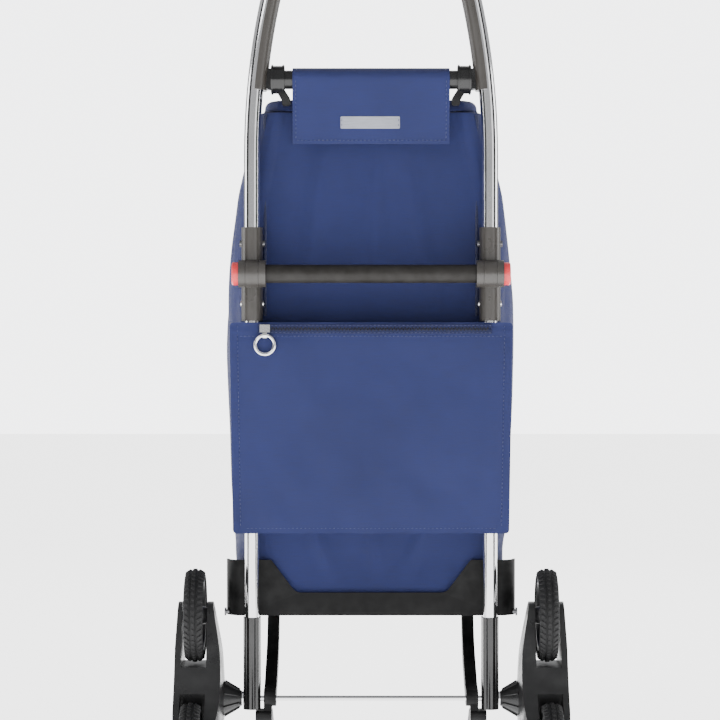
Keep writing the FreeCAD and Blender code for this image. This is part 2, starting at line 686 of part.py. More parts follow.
finish("tray_back", cut(tray_shell, notch, wing_slope, wing_toe, rod("tray_pin_radius", PIN_SPAN, **PIVOT)))
pin_head = rod("tray_pin_radius * 1.9", ["tray_half", "tray_half + 2"], **PIVOT)
finish("tray_hinge_pin", fuse(rod("tray_pin_radius", PIN_SPAN, **PIVOT), pin_head, mirrored(pin_head)))

TRAY_FRONT = value("half_depth - (%s)" % TUBE_PLANE)
BARREL = ["-floor_half", "floor_half"]
floor_half = value("floor_half")
pivot = value("tray_pivot_forward")
slab = prism("XY_Plane", [
    (floor_half, pivot, 0), (floor_half, TRAY_FRONT, 34), (-floor_half, TRAY_FRONT, 34),
    (-floor_half, pivot, 0)], "floor_thick", "floor_top - floor_thick")
lip_half = floor_half - 36
lip = prism("XY_Plane", [
    (lip_half, TRAY_FRONT - wall, 0), (lip_half, TRAY_FRONT, 1), (-lip_half, TRAY_FRONT, 1),
    (-lip_half, TRAY_FRONT - wall, 0)], "floor_lip + floor_thick", "floor_top - floor_thick")
RIBS = (-140, -84, -28, 28, 84, 140)
ribs = [block(["%d - 1.5" % across, "%d + 1.5" % across], [str(pivot + 16), str(TRAY_FRONT - 20)],
              ["floor_top - 2.2 * floor_thick", "floor_top - floor_thick / 2"]) for across in RIBS]
floor_barrel = rod("barrel_radius", BARREL, **PIVOT)
finish("tray_floor", cut(fuse(slab, lip, floor_barrel, *ribs),
                         rod("tray_pin_radius + running_fit", BARREL, **PIVOT)))

# ---- bag: an open-topped padded shell that narrows to its mouth, and its lid ----
BAG_FRONT = value("bag_back + bag_depth")
NECK_LEAN = 8
MOUTH_LEAN = 26


def bag_sections(inset):
    """Half width, back, front and corner radius at each height, moved inwards."""
    rows = [("bag_foot_half", "floor_top + soft_gap", 0), ("bag_wide_half", "bag_wide_height", 0),
            ("bag_neck_half", "bag_neck_height", NECK_LEAN), ("bag_top_half", "bag_top", MOUTH_LEAN)]
    for half, height, lean in rows:
        yield (value(half) - inset, value("bag_back") + inset, BAG_FRONT - inset - lean,
               value("bag_corner") - inset, value(height))


def lofted(sections):
    """A block lofted through rounded rectangles (half width, rear, front, corner radius, height)."""
    body = new_body()
    sketches = []
    for half, rear, front, corner, height in sections:
        sketch = sketch_on(body, "XY_Plane", height)
        outline(sketch, [(half, rear, corner), (half, front, corner), (-half, front, corner),
                         (-half, rear, corner)])
        sketches.append(sketch)
    loft = body.newObject("PartDesign::AdditiveLoft", "Loft")
    loft.Profile = sketches[0]
    loft.Sections = sketches[1:]
    loft.Ruled = True
    body.Tip = loft
    return body


def bag_block(inset, floor_rise, top_rise):
    """The bag's outer shape moved inwards, with its floor and its mouth moved up."""
    sections = [list(section) for section in bag_sections(inset)]
    sections[0][4] += floor_rise
    sections[-1][4] += top_rise
    return lofted(sections)


bag_wall = value("bag_wall")
finish("bag_body", cut(bag_block(0, 0, 0), bag_block(bag_wall, bag_wall, 1)))

lid_base = value("bag_top + soft_gap")
lid_front = BAG_FRONT - MOUTH_LEAN + 3
lid_half = value("bag_top_half") + 2
LID_DOME = 9
lid_corner = value("bag_corner")
cap = lofted([(lid_half, value("bag_back"), lid_front, lid_corner, lid_base),
              (lid_half, value("bag_back"), lid_front, lid_corner, lid_base + 4),
              (lid_half - LID_DOME, value("bag_back"), lid_front - LID_DOME, lid_corner - LID_DOME,
               value("bag_top + lid_height"))])
apron_drop = value("lid_apron")
apron_slope = (MOUTH_LEAN - NECK_LEAN) / value("bag_top - bag_neck_height")
apron_foot = lid_front + apron_drop * apron_slope
apron_half = lid_half - lid_corner
apron = prism("YZ_Plane", [
    (lid_front - 2, lid_base, 0), (apron_foot - 1, lid_base - apron_drop, 0),
    (apron_foot + 2, lid_base - apron_drop, 0), (lid_front + 3, lid_base, 0), (lid_front, lid_base + 4, 0),
    (lid_front - 2, lid_base + 4, 0)], str(2 * apron_half), str(-apron_half))
finish("bag_lid", fuse(cap, apron))

# ---- back pocket, its zip with slider and pull ring, and the hanging flap ----
POCKET_FRONT = value("bag_back") - value("part_gap")


def pocket_block(inset, rear, front, rise):
    half_top = value("pocket_top_half") - inset
    half_bottom = value("pocket_bottom_half") - inset
    top = value("pocket_top") + rise
    bottom = value("pocket_bottom") - rise
    corner = 6 if rise == 0 else 0
    return prism("XZ_Plane", [(half_bottom, bottom, corner), (half_top, top, corner),
                              (-half_top, top, corner), (-half_bottom, bottom, corner)],
                 str(front - rear), str(-front))


pocket_rear = -value("pocket_back")
pocket_wall = value("pocket_wall")
finish("back_pocket", cut(pocket_block(0, pocket_rear, POCKET_FRONT, 0),
                          pocket_block(pocket_wall, pocket_rear + pocket_wall, POCKET_FRONT + 1, 1)))
ZIP_BACK = "-pocket_back - zip_thick"
finish("pocket_zip", group(block(["zip_left", "zip_right"], [ZIP_BACK, "-pocket_back"],
                                 ["zip_height - zip_band / 2", "zip_height + zip_band / 2"])))
eye_height = "zip_height - zip_band / 2 - 2"
SLIDER_FRONT = "%s - part_gap" % ZIP_BACK
SLIDER_BACK = "%s - slider_thick" % SLIDER_FRONT
EYE = {"forward": "(%s) + ring_wire" % SLIDER_BACK, "height": eye_height}
EYE_BORE = "ring_wire + 0.7"
slider = block(["slider_place - slider_width / 2", "slider_place + slider_width / 2"],
               [SLIDER_BACK, SLIDER_FRONT], ["zip_height - zip_band / 2 + 1.5", "zip_height + 5"])
bail = rod(EYE_BORE + " + 1.3", ["slider_place - 2.5", "slider_place + 2.5"], **EYE)
bail_trim = block(["slider_place - 5", "slider_place + 5"], [SLIDER_FRONT, "0"],
                  [eye_height + " - 8", eye_height + " + 8"])
eye_bore = rod(EYE_BORE, ["slider_place - 5", "slider_place + 5"], **EYE)
finish("zip_slider", cut(fuse(slider, bail), bail_trim, eye_bore))
ring = doc.addObject("Part::Torus", "Ring")
bind(ring, {"Radius1": "ring_radius", "Radius2": "ring_wire"})
ring.Placement = Placement(Vector(), Rotation(Vector(1, 0, 0), 90))
place(ring, "slider_place", EYE["forward"], eye_height + " - ring_radius")
finish("zip_ring", group(ring))

bar_up = value("bar_height")
bar_front = value("bar_forward")
drape = value("bar_radius + soft_gap")
flap_thick = value("flap_thick")
flap_foot = value("flap_bottom")
flap_rest = value("bag_back") - value("soft_gap")
flap_root = value("bag_top") - 18


def drape_outline(out):
    """The crown of the flap over the bar, moved outwards, from the rear leg to the front leg."""
    rear = bar_front - drape - out
    front = bar_front + drape + out
    top = bar_up + drape + out
    return [(rear, bar_up - drape, 6), (rear, top, drape + out - 0.01), (front, top, drape + out - 0.01)]


flap_hem = flap_rest - flap_thick - 9
flap = prism("YZ_Plane", [(flap_hem - flap_thick, flap_foot, 0)] + drape_outline(flap_thick) + [
    (flap_rest, flap_root, 0), (flap_rest - flap_thick, flap_root, 0)]
    + list(reversed(drape_outline(0))) + [(flap_hem, flap_foot, 0)],
    "2 * flap_half", "-flap_half")
finish("hang_flap", group(flap))

# ---- handle arch, its trim and grip ----
PITCH = value("tube_pitch")
LONG = value("bend_radius")
CORNER = value("corner_radius")
BEND_START = value("bend_start")
TOP_LINE = value("total_height - upper_width / 2 - grip_wall")
ARCH_FOOT = value("hinge_height + " + TUBE_STOP)
LEAN = math.asin((TOP_LINE - BEND_START - CORNER) / (LONG - CORNER))


def on_long_bend(lean):
    """The point of the right tube's long curve where it leans in by an angle."""
    return Vector(PITCH - LONG * (1 - math.cos(lean)), BEND_START + LONG * math.sin(lean), 0)


def on_corner(lean):
    """The point of the right top corner where the tube leans in by an angle."""
    centre = on_long_bend(LEAN) - Vector(math.cos(LEAN), math.sin(LEAN), 0) * CORNER
    return centre + Vector(math.cos(lean), math.sin(lean), 0) * CORNER


def swept(path, profile, start, lean, names):
    """A body whose profile, drawn square to the path's start, is swept along the path."""
    body = new_body()
    section = sketch_on(body, "XY_Plane", start.y, start.x, -math.degrees(lean))
    profile(section)
    spine = sketch_on(body, "XZ_Plane")
    for curve in path:
        spine.addGeometry(curve)
    sweep = body.newObject("PartDesign::AdditivePipe", names)
    sweep.Profile = section
    sweep.Spine = (spine, ["Edge%d" % (number + 1) for number in range(len(path))])
    body.Tip = sweep
    return body


def flip(point):
    return Vector(-point.x, point.y, 0)


def arc_between(place_on, first, last):
    """An arc of the right side through three leaning points, and its mirror image."""
    points = [place_on(first), place_on((first + last) / 2), place_on(last)]
    return Part.Arc(*points), Part.Arc(*[flip(point) for point in reversed(points)])


UP = math.pi / 2
right_long, left_long = arc_between(on_long_bend, 0, LEAN)
right_corner, left_corner = arc_between(on_corner, LEAN, UP)
top_run = Part.LineSegment(on_corner(UP), flip(on_corner(UP)))
foot = Vector(PITCH, ARCH_FOOT, 0)
shoulder = on_long_bend(0)
arch_path = [Part.LineSegment(foot, shoulder), right_long, right_corner, top_run, left_corner, left_long,
             Part.LineSegment(flip(shoulder), flip(foot))]
grip_path = [right_corner, top_run, left_corner]


def arch_section(sketch):
    flat_oval(sketch, "upper_width", "upper_depth")


def arch_bore(sketch):
    flat_oval(sketch, "upper_width - 2 * tube_wall", "upper_depth - 2 * tube_wall")


def grip_section(sketch):
    flat_oval(sketch, "upper_width + 2 * grip_wall", "upper_depth + 2 * grip_wall")


def trim_section(sketch):
    """A lining round the inner half of the tube, drawn solid."""
    reach = value("upper_width / 2 + trim_stand")
    outer = value("upper_depth / 2 + trim_wall")
    outline(sketch, [(0, outer, 0), (-reach, outer, reach * 0.75), (-reach, -outer, reach * 0.75),
                     (0, -outer, 0)])


arch_bar = swept(arch_path, arch_section, foot, 0, "Arch")
arch_hole = swept(arch_path, arch_bore, foot, 0, "ArchHole")
arch_screw = rod("rivet_radius", KNUCKLE_SIDES, height="hinge_height + screw_rise")
finish("handle_arch", cut(arch_bar, arch_hole, arch_screw, mirrored(arch_screw)))

trim_lean = math.asin((value("trim_foot") - BEND_START) / LONG)
trim_arc = arc_between(on_long_bend, trim_lean, LEAN)[0]
trim_bar = swept([trim_arc], trim_section, on_long_bend(trim_lean), trim_lean, "Trim")
finish_group("handle_trim", cut(trim_bar, arch_bar))
grip = swept(grip_path, grip_section, on_corner(LEAN), LEAN, "Grip")
finish("handle_grip", cut(grip, arch_bar))

# ---- top bar between two brackets, each with an arm down to the bag ----
BAR = {"forward": "bar_forward", "height": "bar_height"}
BAR_SPAN = ["-bar_half", "bar_half"]
finish("top_bar", cut(rod("bar_radius", BAR_SPAN, **BAR), rod("bar_radius - tube_wall", BAR_SPAN, **BAR)))
bar_round = rod("bracket_radius", ["bar_half", "bracket_outer"], **BAR)
saddle_block = block(["bracket_outer - 2", "tube_pitch - upper_width / 3"], ["-upper_depth / 3", "upper_depth / 3"],
                     ["bar_height - 12", "bar_height + 12"])
bar_half = value("bar_half")
bracket_foot = value("bar_height - bar_radius")
arm_rear = value("bar_forward") - 3
hanger = prism("XZ_Plane", [
    (bar_half, bracket_foot + 4, 0), (bar_half + 11, bracket_foot + 4, 0), (bar_half + 11, bracket_foot, 6),
    (bar_half + 3, bracket_foot - 14, 8), (bar_half + 3, bracket_foot - 20, 3),
    (bar_half - 7, bracket_foot - 20, 3), (bar_half - 7, bracket_foot - 12, 10),
    (bar_half, bracket_foot - 1, 3)], "10", str(-arm_rear - 10))
finish_pair("bar_bracket", cut(fuse(bar_round, saddle_block, hanger), arch_bar, trim_bar))

# ---- check and write ----
doc.recompute()
faults = []
for item in doc.Objects:
    if "Invalid" in item.State or "Error" in item.State:
        faults.append("%s %s %s" % (item.Name, item.Label, item.State))
for label, item in NODES.items():
    if item.Shape.isNull() or not item.Shape.isValid() or not item.Shape.Solids:
        faults.append("%s has no valid solid" % label)
if faults:
    raise RuntimeError("; ".join(faults))
os.makedirs("parts", exist_ok=True)
whole = FreeCAD.BoundBox()
for label, item in NODES.items():
    item.Shape.exportStep(os.path.join("parts", label + ".step"))
    whole.add(item.Shape.BoundBox)
print("%d nodes, box %s" % (len(NODES), whole))
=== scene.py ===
import math
import bmesh
import bpy
from bpy.props import FloatProperty, FloatVectorProperty, IntProperty, PointerProperty
from mathutils import Matrix, Vector, noise


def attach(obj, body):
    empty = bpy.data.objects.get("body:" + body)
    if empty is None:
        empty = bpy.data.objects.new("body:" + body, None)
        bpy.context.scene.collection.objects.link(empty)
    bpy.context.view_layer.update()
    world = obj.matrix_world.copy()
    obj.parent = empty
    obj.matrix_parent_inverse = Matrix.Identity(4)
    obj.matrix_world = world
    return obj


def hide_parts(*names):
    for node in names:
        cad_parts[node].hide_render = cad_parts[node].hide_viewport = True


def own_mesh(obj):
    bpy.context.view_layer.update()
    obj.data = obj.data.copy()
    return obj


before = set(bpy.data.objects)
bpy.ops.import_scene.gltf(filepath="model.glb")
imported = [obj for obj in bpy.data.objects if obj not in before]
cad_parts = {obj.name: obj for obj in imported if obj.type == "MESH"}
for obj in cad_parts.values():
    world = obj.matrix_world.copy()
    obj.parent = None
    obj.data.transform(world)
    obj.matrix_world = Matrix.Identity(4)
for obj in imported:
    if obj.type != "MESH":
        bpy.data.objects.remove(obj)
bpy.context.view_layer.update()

bl_info = {
    "name": "Folding Shopping Trolley",
    "version": (1, 0, 0),
    "blender": (4, 5, 0),
    "location": "3D View > Sidebar > Trolley",
    "description": "Dresses the frame of a folding shopping trolley with its bag, grips, tyres and finishes",
    "category": "Object",
}

SIDES = {"left": -1, "right": 1}
WHEEL_SPOTS = ("top", "rear", "front")
FINISHES = {}
WAVE_PERIOD = math.tau / 20   # scale that gives a wave texture one band per unit
GRIP_SPAN = 0.2294            # length of the soft grip along X
SAME_PLACE = 1e-6             # points closer than this are one point
NEARLY_ALONG = 0.99           # cosine past which an edge runs along an axis
NOISE_RANGE = (0.3, 0.7)      # the band that most of a noise texture falls in
WORN_RANGE = (0.56, 0.70)     # pointiness of an edge that starts to rub, and of a rubbed one
RUBBED = 0.08                 # how much paler a rubbed edge is, per unit of wear
STITCH_WIDTH = 0.00042        # half the width of a stitch
SETTLE_FRAMES = 16            # length of the cloth simulation


# ---------------------------------------------------------------- settings

class TrolleySizes(bpy.types.PropertyGroup):
    """Sizes of the sewn and moulded detail, in metres."""
    fabric_wall: FloatProperty(
        name="Fabric wall", description="Thickness of the padded bag fabric",
        default=0.0022, min=0.001, max=0.006, unit="LENGTH")
    stitch_length: FloatProperty(
        name="Stitch length", description="Length of one stitch",
        default=0.0033, min=0.001, max=0.01, unit="LENGTH")
    stitch_gap: FloatProperty(
        name="Stitch gap", description="Gap between two stitches",
        default=0.0015, min=0.0005, max=0.01, unit="LENGTH")
    piping: FloatProperty(
        name="Piping", description="Radius of the piped seams of the bag",
        default=0.0018, min=0.0005, max=0.004, unit="LENGTH")
    grip_ribs: IntProperty(
        name="Grip ribs", description="Number of ribs round the soft grip",
        default=44, min=8, max=80)
    tread_blocks: IntProperty(
        name="Tread blocks", description="Number of tread blocks round a tyre",
        default=46, min=12, max=90)


class TrolleyColours(bpy.types.PropertyGroup):
    """Base colours of the finishes."""
    fabric: FloatVectorProperty(
        name="Fabric", description="Bag fabric", subtype="COLOR", size=3, min=0, max=1,
        default=(0.0165, 0.0235, 0.103))
    thread: FloatVectorProperty(
        name="Thread", description="Sewing thread", subtype="COLOR", size=3, min=0, max=1,
        default=(0.026, 0.038, 0.15))
    plastic: FloatVectorProperty(
        name="Black plastic", description="Tray, sleeves and legs", subtype="COLOR", size=3,
        min=0, max=1, default=(0.0042, 0.0042, 0.0044))
    knuckle: FloatVectorProperty(
        name="Hinge plastic", description="Folding hinges and crossbar", subtype="COLOR", size=3,
        min=0, max=1, default=(0.040, 0.036, 0.032))
    carrier: FloatVectorProperty(
        name="Carrier plastic", description="Wheel carriers", subtype="COLOR", size=3, min=0, max=1,
        default=(0.014, 0.014, 0.0145))
    button: FloatVectorProperty(
        name="Button", description="Release buttons", subtype="COLOR", size=3, min=0, max=1,
        default=(0.72, 0.045, 0.055))
    tube: FloatVectorProperty(
        name="Tube", description="Polished aluminium tubes", subtype="COLOR", size=3, min=0, max=1,
        default=(0.80, 0.80, 0.81))
    rubber: FloatVectorProperty(
        name="Rubber", description="Tyres and foot pads", subtype="COLOR", size=3, min=0, max=1,
        default=(0.010, 0.010, 0.0105))


def sizes():
    return bpy.context.scene.trolley_sizes


def colours():
    return bpy.context.scene.trolley_colours


# ---------------------------------------------------------------- finishes

class Finish:
    """A material under construction: one Principled shader and the nodes that feed it."""

    def __init__(self, name, colour, roughness, metallic=0.0, **sockets):
        self.material = bpy.data.materials.new(name)
        self.material.use_nodes = True
        self.tree = self.material.node_tree
        self.shader = self.tree.nodes["Principled BSDF"]
        self.colour = tuple(colour)
        self.shader.inputs["Base Color"].default_value = self.colour + (1.0,)
        self.shader.inputs["Roughness"].default_value = roughness
        self.shader.inputs["Metallic"].default_value = metallic
        for socket, amount in sockets.items():
            self.shader.inputs[socket.replace("_", " ")].default_value = amount
        self.height = None

    def node(self, kind, **inputs):
        made = self.tree.nodes.new(kind)
        for name, amount in inputs.items():
            socket = made.inputs[name.replace("_", " ")]
            if isinstance(amount, bpy.types.NodeSocket):
                self.tree.links.new(amount, socket)
            else:
                socket.default_value = amount
        return made

    def place(self, scale, source="Object"):
        """Coordinates of the piece, scaled on each axis."""
        coordinates = self.tree.nodes.new("ShaderNodeTexCoord").outputs[source]
        return self.node("ShaderNodeMapping", Vector=coordinates, Scale=scale).outputs["Vector"]

    def noise(self, scale, detail=3.0, stretch=(1, 1, 1), source="Object"):
        return self.node("ShaderNodeTexNoise", Vector=self.place(stretch, source), Scale=scale,
                         Detail=detail).outputs["Fac"]

    def maths(self, operation, first, second=0.0):
        made = self.tree.nodes.new("ShaderNodeMath")
        made.operation = operation
        for socket, amount in zip(made.inputs, (first, second)):
            if isinstance(amount, bpy.types.NodeSocket):
                self.tree.links.new(amount, socket)
            else:
                socket.default_value = amount
        return made.outputs[0]

    def ramp(self, factor, *stops):
        """A colour ramp; each stop is (position, colour)."""
        made = self.node("ShaderNodeValToRGB", Fac=factor)
        elements = made.color_ramp.elements
        while len(elements) < len(stops):
            elements.new(0.5)
        for element, (position, colour) in zip(elements, stops):
            element.position = position
            element.color = tuple(colour) + (1.0,)
        return made.outputs["Color"]

    def spread(self, factor, low, high):
        """Stretch a factor of about 0 to 1 between two numbers."""
        return self.node("ShaderNodeMapRange", Value=factor, From_Min=NOISE_RANGE[0],
                         From_Max=NOISE_RANGE[1], To_Min=low, To_Max=high).outputs["Result"]

    def tint(self, factor, dark, light):
        """Vary the base colour between two shares of itself."""
        stops = [(NOISE_RANGE[0], [channel * dark for channel in self.colour]),
                 (NOISE_RANGE[1], [min(1.0, channel * light) for channel in self.colour])]
        self.link(self.ramp(factor, *stops), "Base Color")
        return self

    def link(self, output, socket):
        self.tree.links.new(output, self.shader.inputs[socket])
        return self

    def rough(self, factor, low, high):
        return self.link(self.spread(factor, low, high), "Roughness")

    def relief(self, height, distance, strength=1.0):
        """Add a bump on top of the ones before it."""
        bump = self.node("ShaderNodeBump", Height=height, Distance=distance, Strength=strength)
        if self.height:
            self.tree.links.new(self.height, bump.inputs["Normal"])
        self.height = bump.outputs["Normal"]
        return self.link(self.height, "Normal")

    def bands(self, pitch, depth):
        """Ribs or flutes that repeat along X, so many metres apart."""
        wave = self.node("ShaderNodeTexWave", Vector=self.place((1 / pitch, 1, 1)),
                         Scale=WAVE_PERIOD)
        return self.relief(wave.outputs["Fac"], depth, 0.8)

    def edge_wear(self, amount=0.35):
        """Paler, rubbed edges from the shape's own curvature."""
        point = self.tree.nodes.new("ShaderNodeNewGeometry").outputs["Pointiness"]
        edge = self.node("ShaderNodeMapRange", Value=point, From_Min=WORN_RANGE[0],
                         From_Max=WORN_RANGE[1])
        patch = self.spread(self.noise(60.0, 4.0), 0.0, 1.0)
        worn = self.maths("MULTIPLY", edge.outputs["Result"], patch)
        mix = self.tree.nodes.new("ShaderNodeMix")
        mix.data_type = "RGBA"
        first, second = [socket for socket in mix.inputs if socket.type == "RGBA"]
        source = self.shader.inputs["Base Color"]
        if source.is_linked:
            self.tree.links.new(source.links[0].from_socket, first)
        else:
            first.default_value = source.default_value
        paler = tuple(min(1.0, channel + amount * RUBBED) for channel in self.colour)
        second.default_value = paler + (1.0,)
        self.tree.links.new(worn, mix.inputs["Factor"])
        mixed = [socket for socket in mix.outputs if socket.type == "RGBA"][0]
        return self.link(mixed, "Base Color")


def woven_cloth(name, colour, pitch, sheen):
    """Plain-woven polyester: warp and weft from the piece's own UV map, which is in metres."""
    cloth = Finish(name, colour, 0.66, Sheen_Weight=sheen, Sheen_Roughness=0.45,
                   Specular_IOR_Level=0.3)
    threads = []
    for direction in ("X", "Y"):
        wave = cloth.node("ShaderNodeTexWave", Vector=cloth.place((1 / pitch, 1 / pitch, 1), "UV"),
                          Scale=WAVE_PERIOD, Distortion=0.6, Detail=1.0)
        wave.bands_direction = direction
        threads.append(wave.outputs["Fac"])
    weave = cloth.maths("MULTIPLY", threads[0], threads[1])
    broad = cloth.noise(7.0, 3.0)
    slub = cloth.noise(1.0, 2.0, (60.0, 700.0, 1.0), "UV")
    cloth.tint(cloth.maths("ADD", cloth.maths("MULTIPLY", broad, 0.55),
                           cloth.maths("MULTIPLY", slub, 0.45)), 0.76, 1.27)
    cloth.relief(weave, 0.00040, 1.0)
    cloth.relief(cloth.noise(16.0, 4.0), 0.0035, 0.35)
    cloth.rough(slub, 0.55, 0.70)
    return cloth.material


def moulded_plastic(name, colour, roughness, grain, wear=0.3, shine=0.5, flutes=0.0):
    """Injection-moulded plastic with a fine grain, rubbed edges and perhaps upright flutes."""
    plastic = Finish(name, colour, roughness, Specular_IOR_Level=shine)
    if flutes:
        plastic.bands(flutes, 0.0012)
    plastic.tint(plastic.noise(9.0, 4.0), 0.92, 1.09)
    plastic.rough(plastic.noise(35.0, 5.0), roughness - 0.06, roughness + 0.09)
    plastic.relief(plastic.noise(grain, 2.0), 0.00012, 0.5)
    return plastic.edge_wear(wear).material


def polished_metal(name, colour, roughness, drawn=(40, 40, 1.2)):
    """Bright metal with faint lines along its length and a few handling marks."""
    metal = Finish(name, colour, roughness, 1.0)
    lines = metal.noise(38.0, 4.0, drawn)
    marks = metal.noise(14.0, 5.0)
    metal.rough(metal.maths("ADD", metal.maths("MULTIPLY", lines, 0.6),
                            metal.maths("MULTIPLY", marks, 0.4)), roughness * 0.6, roughness * 1.7)
    metal.tint(marks, 0.93, 1.03)
    metal.relief(lines, 0.00003, 0.4)
    return metal.material


def rubber_compound(name, colour, roughness, ribs=0.0):
    """Dusty, matt rubber, perhaps with ribs so many metres apart."""
    rubber = Finish(name, colour, roughness, Specular_IOR_Level=0.35)
    if ribs:
        rubber.bands(ribs, 0.0010)
    dust = rubber.noise(22.0, 5.0)
    rubber.tint(dust, 0.85, 1.3)
    rubber.rough(dust, roughness - 0.08, min(1.0, roughness + 0.1))
    rubber.relief(rubber.noise(900.0, 2.0), 0.00015, 0.5)
    return rubber.edge_wear(0.25).material


def mix_finishes():
    """Make every finish once."""
    base = colours()
    fabric, thread, plastic, knuckle, carrier, button, tube, rubber = (
        tuple(shade) for shade in (base.fabric, base.thread, base.plastic, base.knuckle,
                                   base.carrier, base.button, base.tube, base.rubber))
    rib_pitch = GRIP_SPAN / sizes().grip_ribs
    FINISHES.update({
        "cloth": woven_cloth("Bag cloth", fabric, 0.0011, 0.12),
        "cloth_binding": woven_cloth("Bag binding", [c * 0.8 for c in fabric], 0.0008, 0.2),
        "cloth_lining": woven_cloth("Bag lining", [0.30, 0.31, 0.33], 0.0012, 0.2),
        "zip_cloth": woven_cloth("Zip tape", [c * 0.72 for c in fabric], 0.0006, 0.15),
        "label_cloth": woven_cloth("Woven label", [0.42, 0.44, 0.50], 0.0005, 0.2),
        "thread": woven_cloth("Thread", thread, 0.0004, 0.3),
        "tube": polished_metal("Polished tube", tube, 0.09),
        "chrome": polished_metal("Plated steel", (0.83, 0.83, 0.84), 0.09, (1, 1, 1)),
        "dark_steel": polished_metal("Dark steel", (0.20, 0.20, 0.21), 0.32, (1, 1, 1)),
        "plastic": moulded_plastic("Tray plastic", plastic, 0.46, 1500.0, 0.3, 0.13),
        "gloss": moulded_plastic("Sleeve plastic", plastic, 0.20, 700.0, 0.2, 0.55),
        "sleeve": moulded_plastic("Fluted plastic", plastic, 0.18, 700.0, 0.2, 0.6, 0.0052),
        "knuckle": moulded_plastic("Hinge plastic", knuckle, 0.30, 1300.0, 0.3, 0.6),
        "crossbar": moulded_plastic("Crossbar plastic", [c * 0.4 for c in knuckle], 0.42, 1300.0,
                                    0.3, 0.2),
        "carrier": moulded_plastic("Carrier plastic", carrier, 0.30, 1100.0, 0.3, 0.4),
        "rim": moulded_plastic("Rim plastic", (0.030, 0.030, 0.032), 0.36, 900.0),
        "red": moulded_plastic("Button plastic", button, 0.28, 600.0, 0.1),
        "nylon": moulded_plastic("Bush nylon", (0.62, 0.61, 0.56), 0.45, 800.0, 0.1),
        "tyre": rubber_compound("Tyre rubber", rubber, 0.68),
        "grip": rubber_compound("Grip rubber", (0.012, 0.012, 0.0125), 0.58, rib_pitch),
        "foot": rubber_compound("Foot rubber", rubber, 0.75),
    })


def paint(piece, finish):
    """Give a piece one finish in all its material slots."""
    piece.data.materials.clear()
    piece.data.materials.append(FINISHES[finish])


def paint_node(node, finish):
    """Give a carried-over node of the frame one finish."""
    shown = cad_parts[node]
    for material_slot in shown.material_slots:
        material_slot.link = "OBJECT"
        material_slot.material = FINISHES[finish]
    if not shown.material_slots:
        shown.data.materials.append(FINISHES[finish])


# ---------------------------------------------------------------- shaping tools

def sized(low, high):
    """A box-shaped bmesh between two corners."""
    tool = bmesh.new()
    bmesh.ops.create_cube(tool, size=1.0)
    middle = (Vector(low) + Vector(high)) / 2
    extent = Vector(high) - Vector(low)
    bmesh.ops.scale(tool, vec=extent, verts=tool.verts)
    bmesh.ops.translate(tool, vec=middle, verts=tool.verts)
    return tool


def slice_up(tool, low, high, pitch, axes=(0, 1, 2)):
    """Cut a mesh with evenly spaced planes along some of its axes."""
    for axis in axes:
        count = max(1, round((high[axis] - low[axis]) / pitch))
        normal = Vector((axis == 0, axis == 1, axis == 2))
        for step in range(1, count):
            at = Vector(low)
            at[axis] = low[axis] + (high[axis] - low[axis]) * step / count
            bmesh.ops.bisect_plane(tool, geom=tool.verts[:] + tool.edges[:] + tool.faces[:],
                                   plane_co=at, plane_no=normal, dist=SAME_PLACE)


def edges_along(tool, axis):
    """The edges that run along one axis."""
    return [edge for edge in tool.edges
            if abs((edge.verts[1].co - edge.verts[0].co).normalized()[axis]) > NEARLY_ALONG]


def rounded(tool, edges, radius, segments):
    bmesh.ops.bevel(tool, geom=edges, offset=radius, offset_type="OFFSET", segments=segments,
                    profile=0.5, affect="EDGES", material=-1, clamp_overlap=True)


def drop_faces(tool, test):
    bmesh.ops.delete(tool, geom=[face for face in tool.faces if test(face)], context="FACES")


def cloth_map(mesh):
    """A UV map in metres, laid flat on each face's main direction."""
    layer = mesh.uv_layers.new(name="cloth")
    for face in mesh.polygons:
        normal = [abs(part) for part in face.normal]
        across, up = {0: (1, 2), 1: (0, 2), 2: (0, 1)}[normal.index(max(normal))]
        for corner in face.loop_indices:
            place = mesh.vertices[mesh.loops[corner].vertex_index].co
            layer.data[corner].uv = (place[across], place[up])


def mesh_of(name, tool):
    """Turn a bmesh into a mesh, and free it."""
    mesh = bpy.data.meshes.new(name)
    tool.to_mesh(mesh)
    tool.free()
    return mesh


def put(name, data):
    """A new object in the scene, at the origin."""
    made = bpy.data.objects.new(name, data)
    bpy.context.scene.collection.objects.link(made)
    return made


def make_piece(name, tool, finish, body, replaced=(), smooth=40, cloth=False):
    """Turn a bmesh into a finished piece that rides on a body of the frame."""
    mesh = mesh_of(name, tool)
    piece = put(name, mesh)
    mesh.shade_smooth()
    mesh.set_sharp_from_angle(angle=math.radians(smooth))
    if cloth:
        cloth_map(mesh)
    paint(piece, finish)
    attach(piece, body)
    if replaced:
        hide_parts(*replaced)
    return piece


def modify(piece, kind, **settings):
    """Add a modifier; a subdivision shows the same levels everywhere."""
    modifier = piece.modifiers.new(kind.title(), kind)
    for name, amount in settings.items():
        setattr(modifier, name, amount)
    if kind == "SUBSURF":
        modifier.render_levels = modifier.levels
    return modifier


def apply_modifiers(piece):
    """Replace a piece's mesh by what its modifiers make of it."""
    graph = bpy.context.evaluated_depsgraph_get()
    made = bpy.data.meshes.new_from_object(piece.evaluated_get(graph), depsgraph=graph)
    piece.modifiers.clear()
    old = piece.data
    piece.data = made
    bpy.data.meshes.remove(old)


def traced(surface, start, end, count):
    """Points of a surface(x, z) along a straight line between two places (x, z)."""
    return [surface(start[0] + (end[0] - start[0]) * step / count,
                    start[1] + (end[1] - start[1]) * step / count) for step in range(count + 1)]


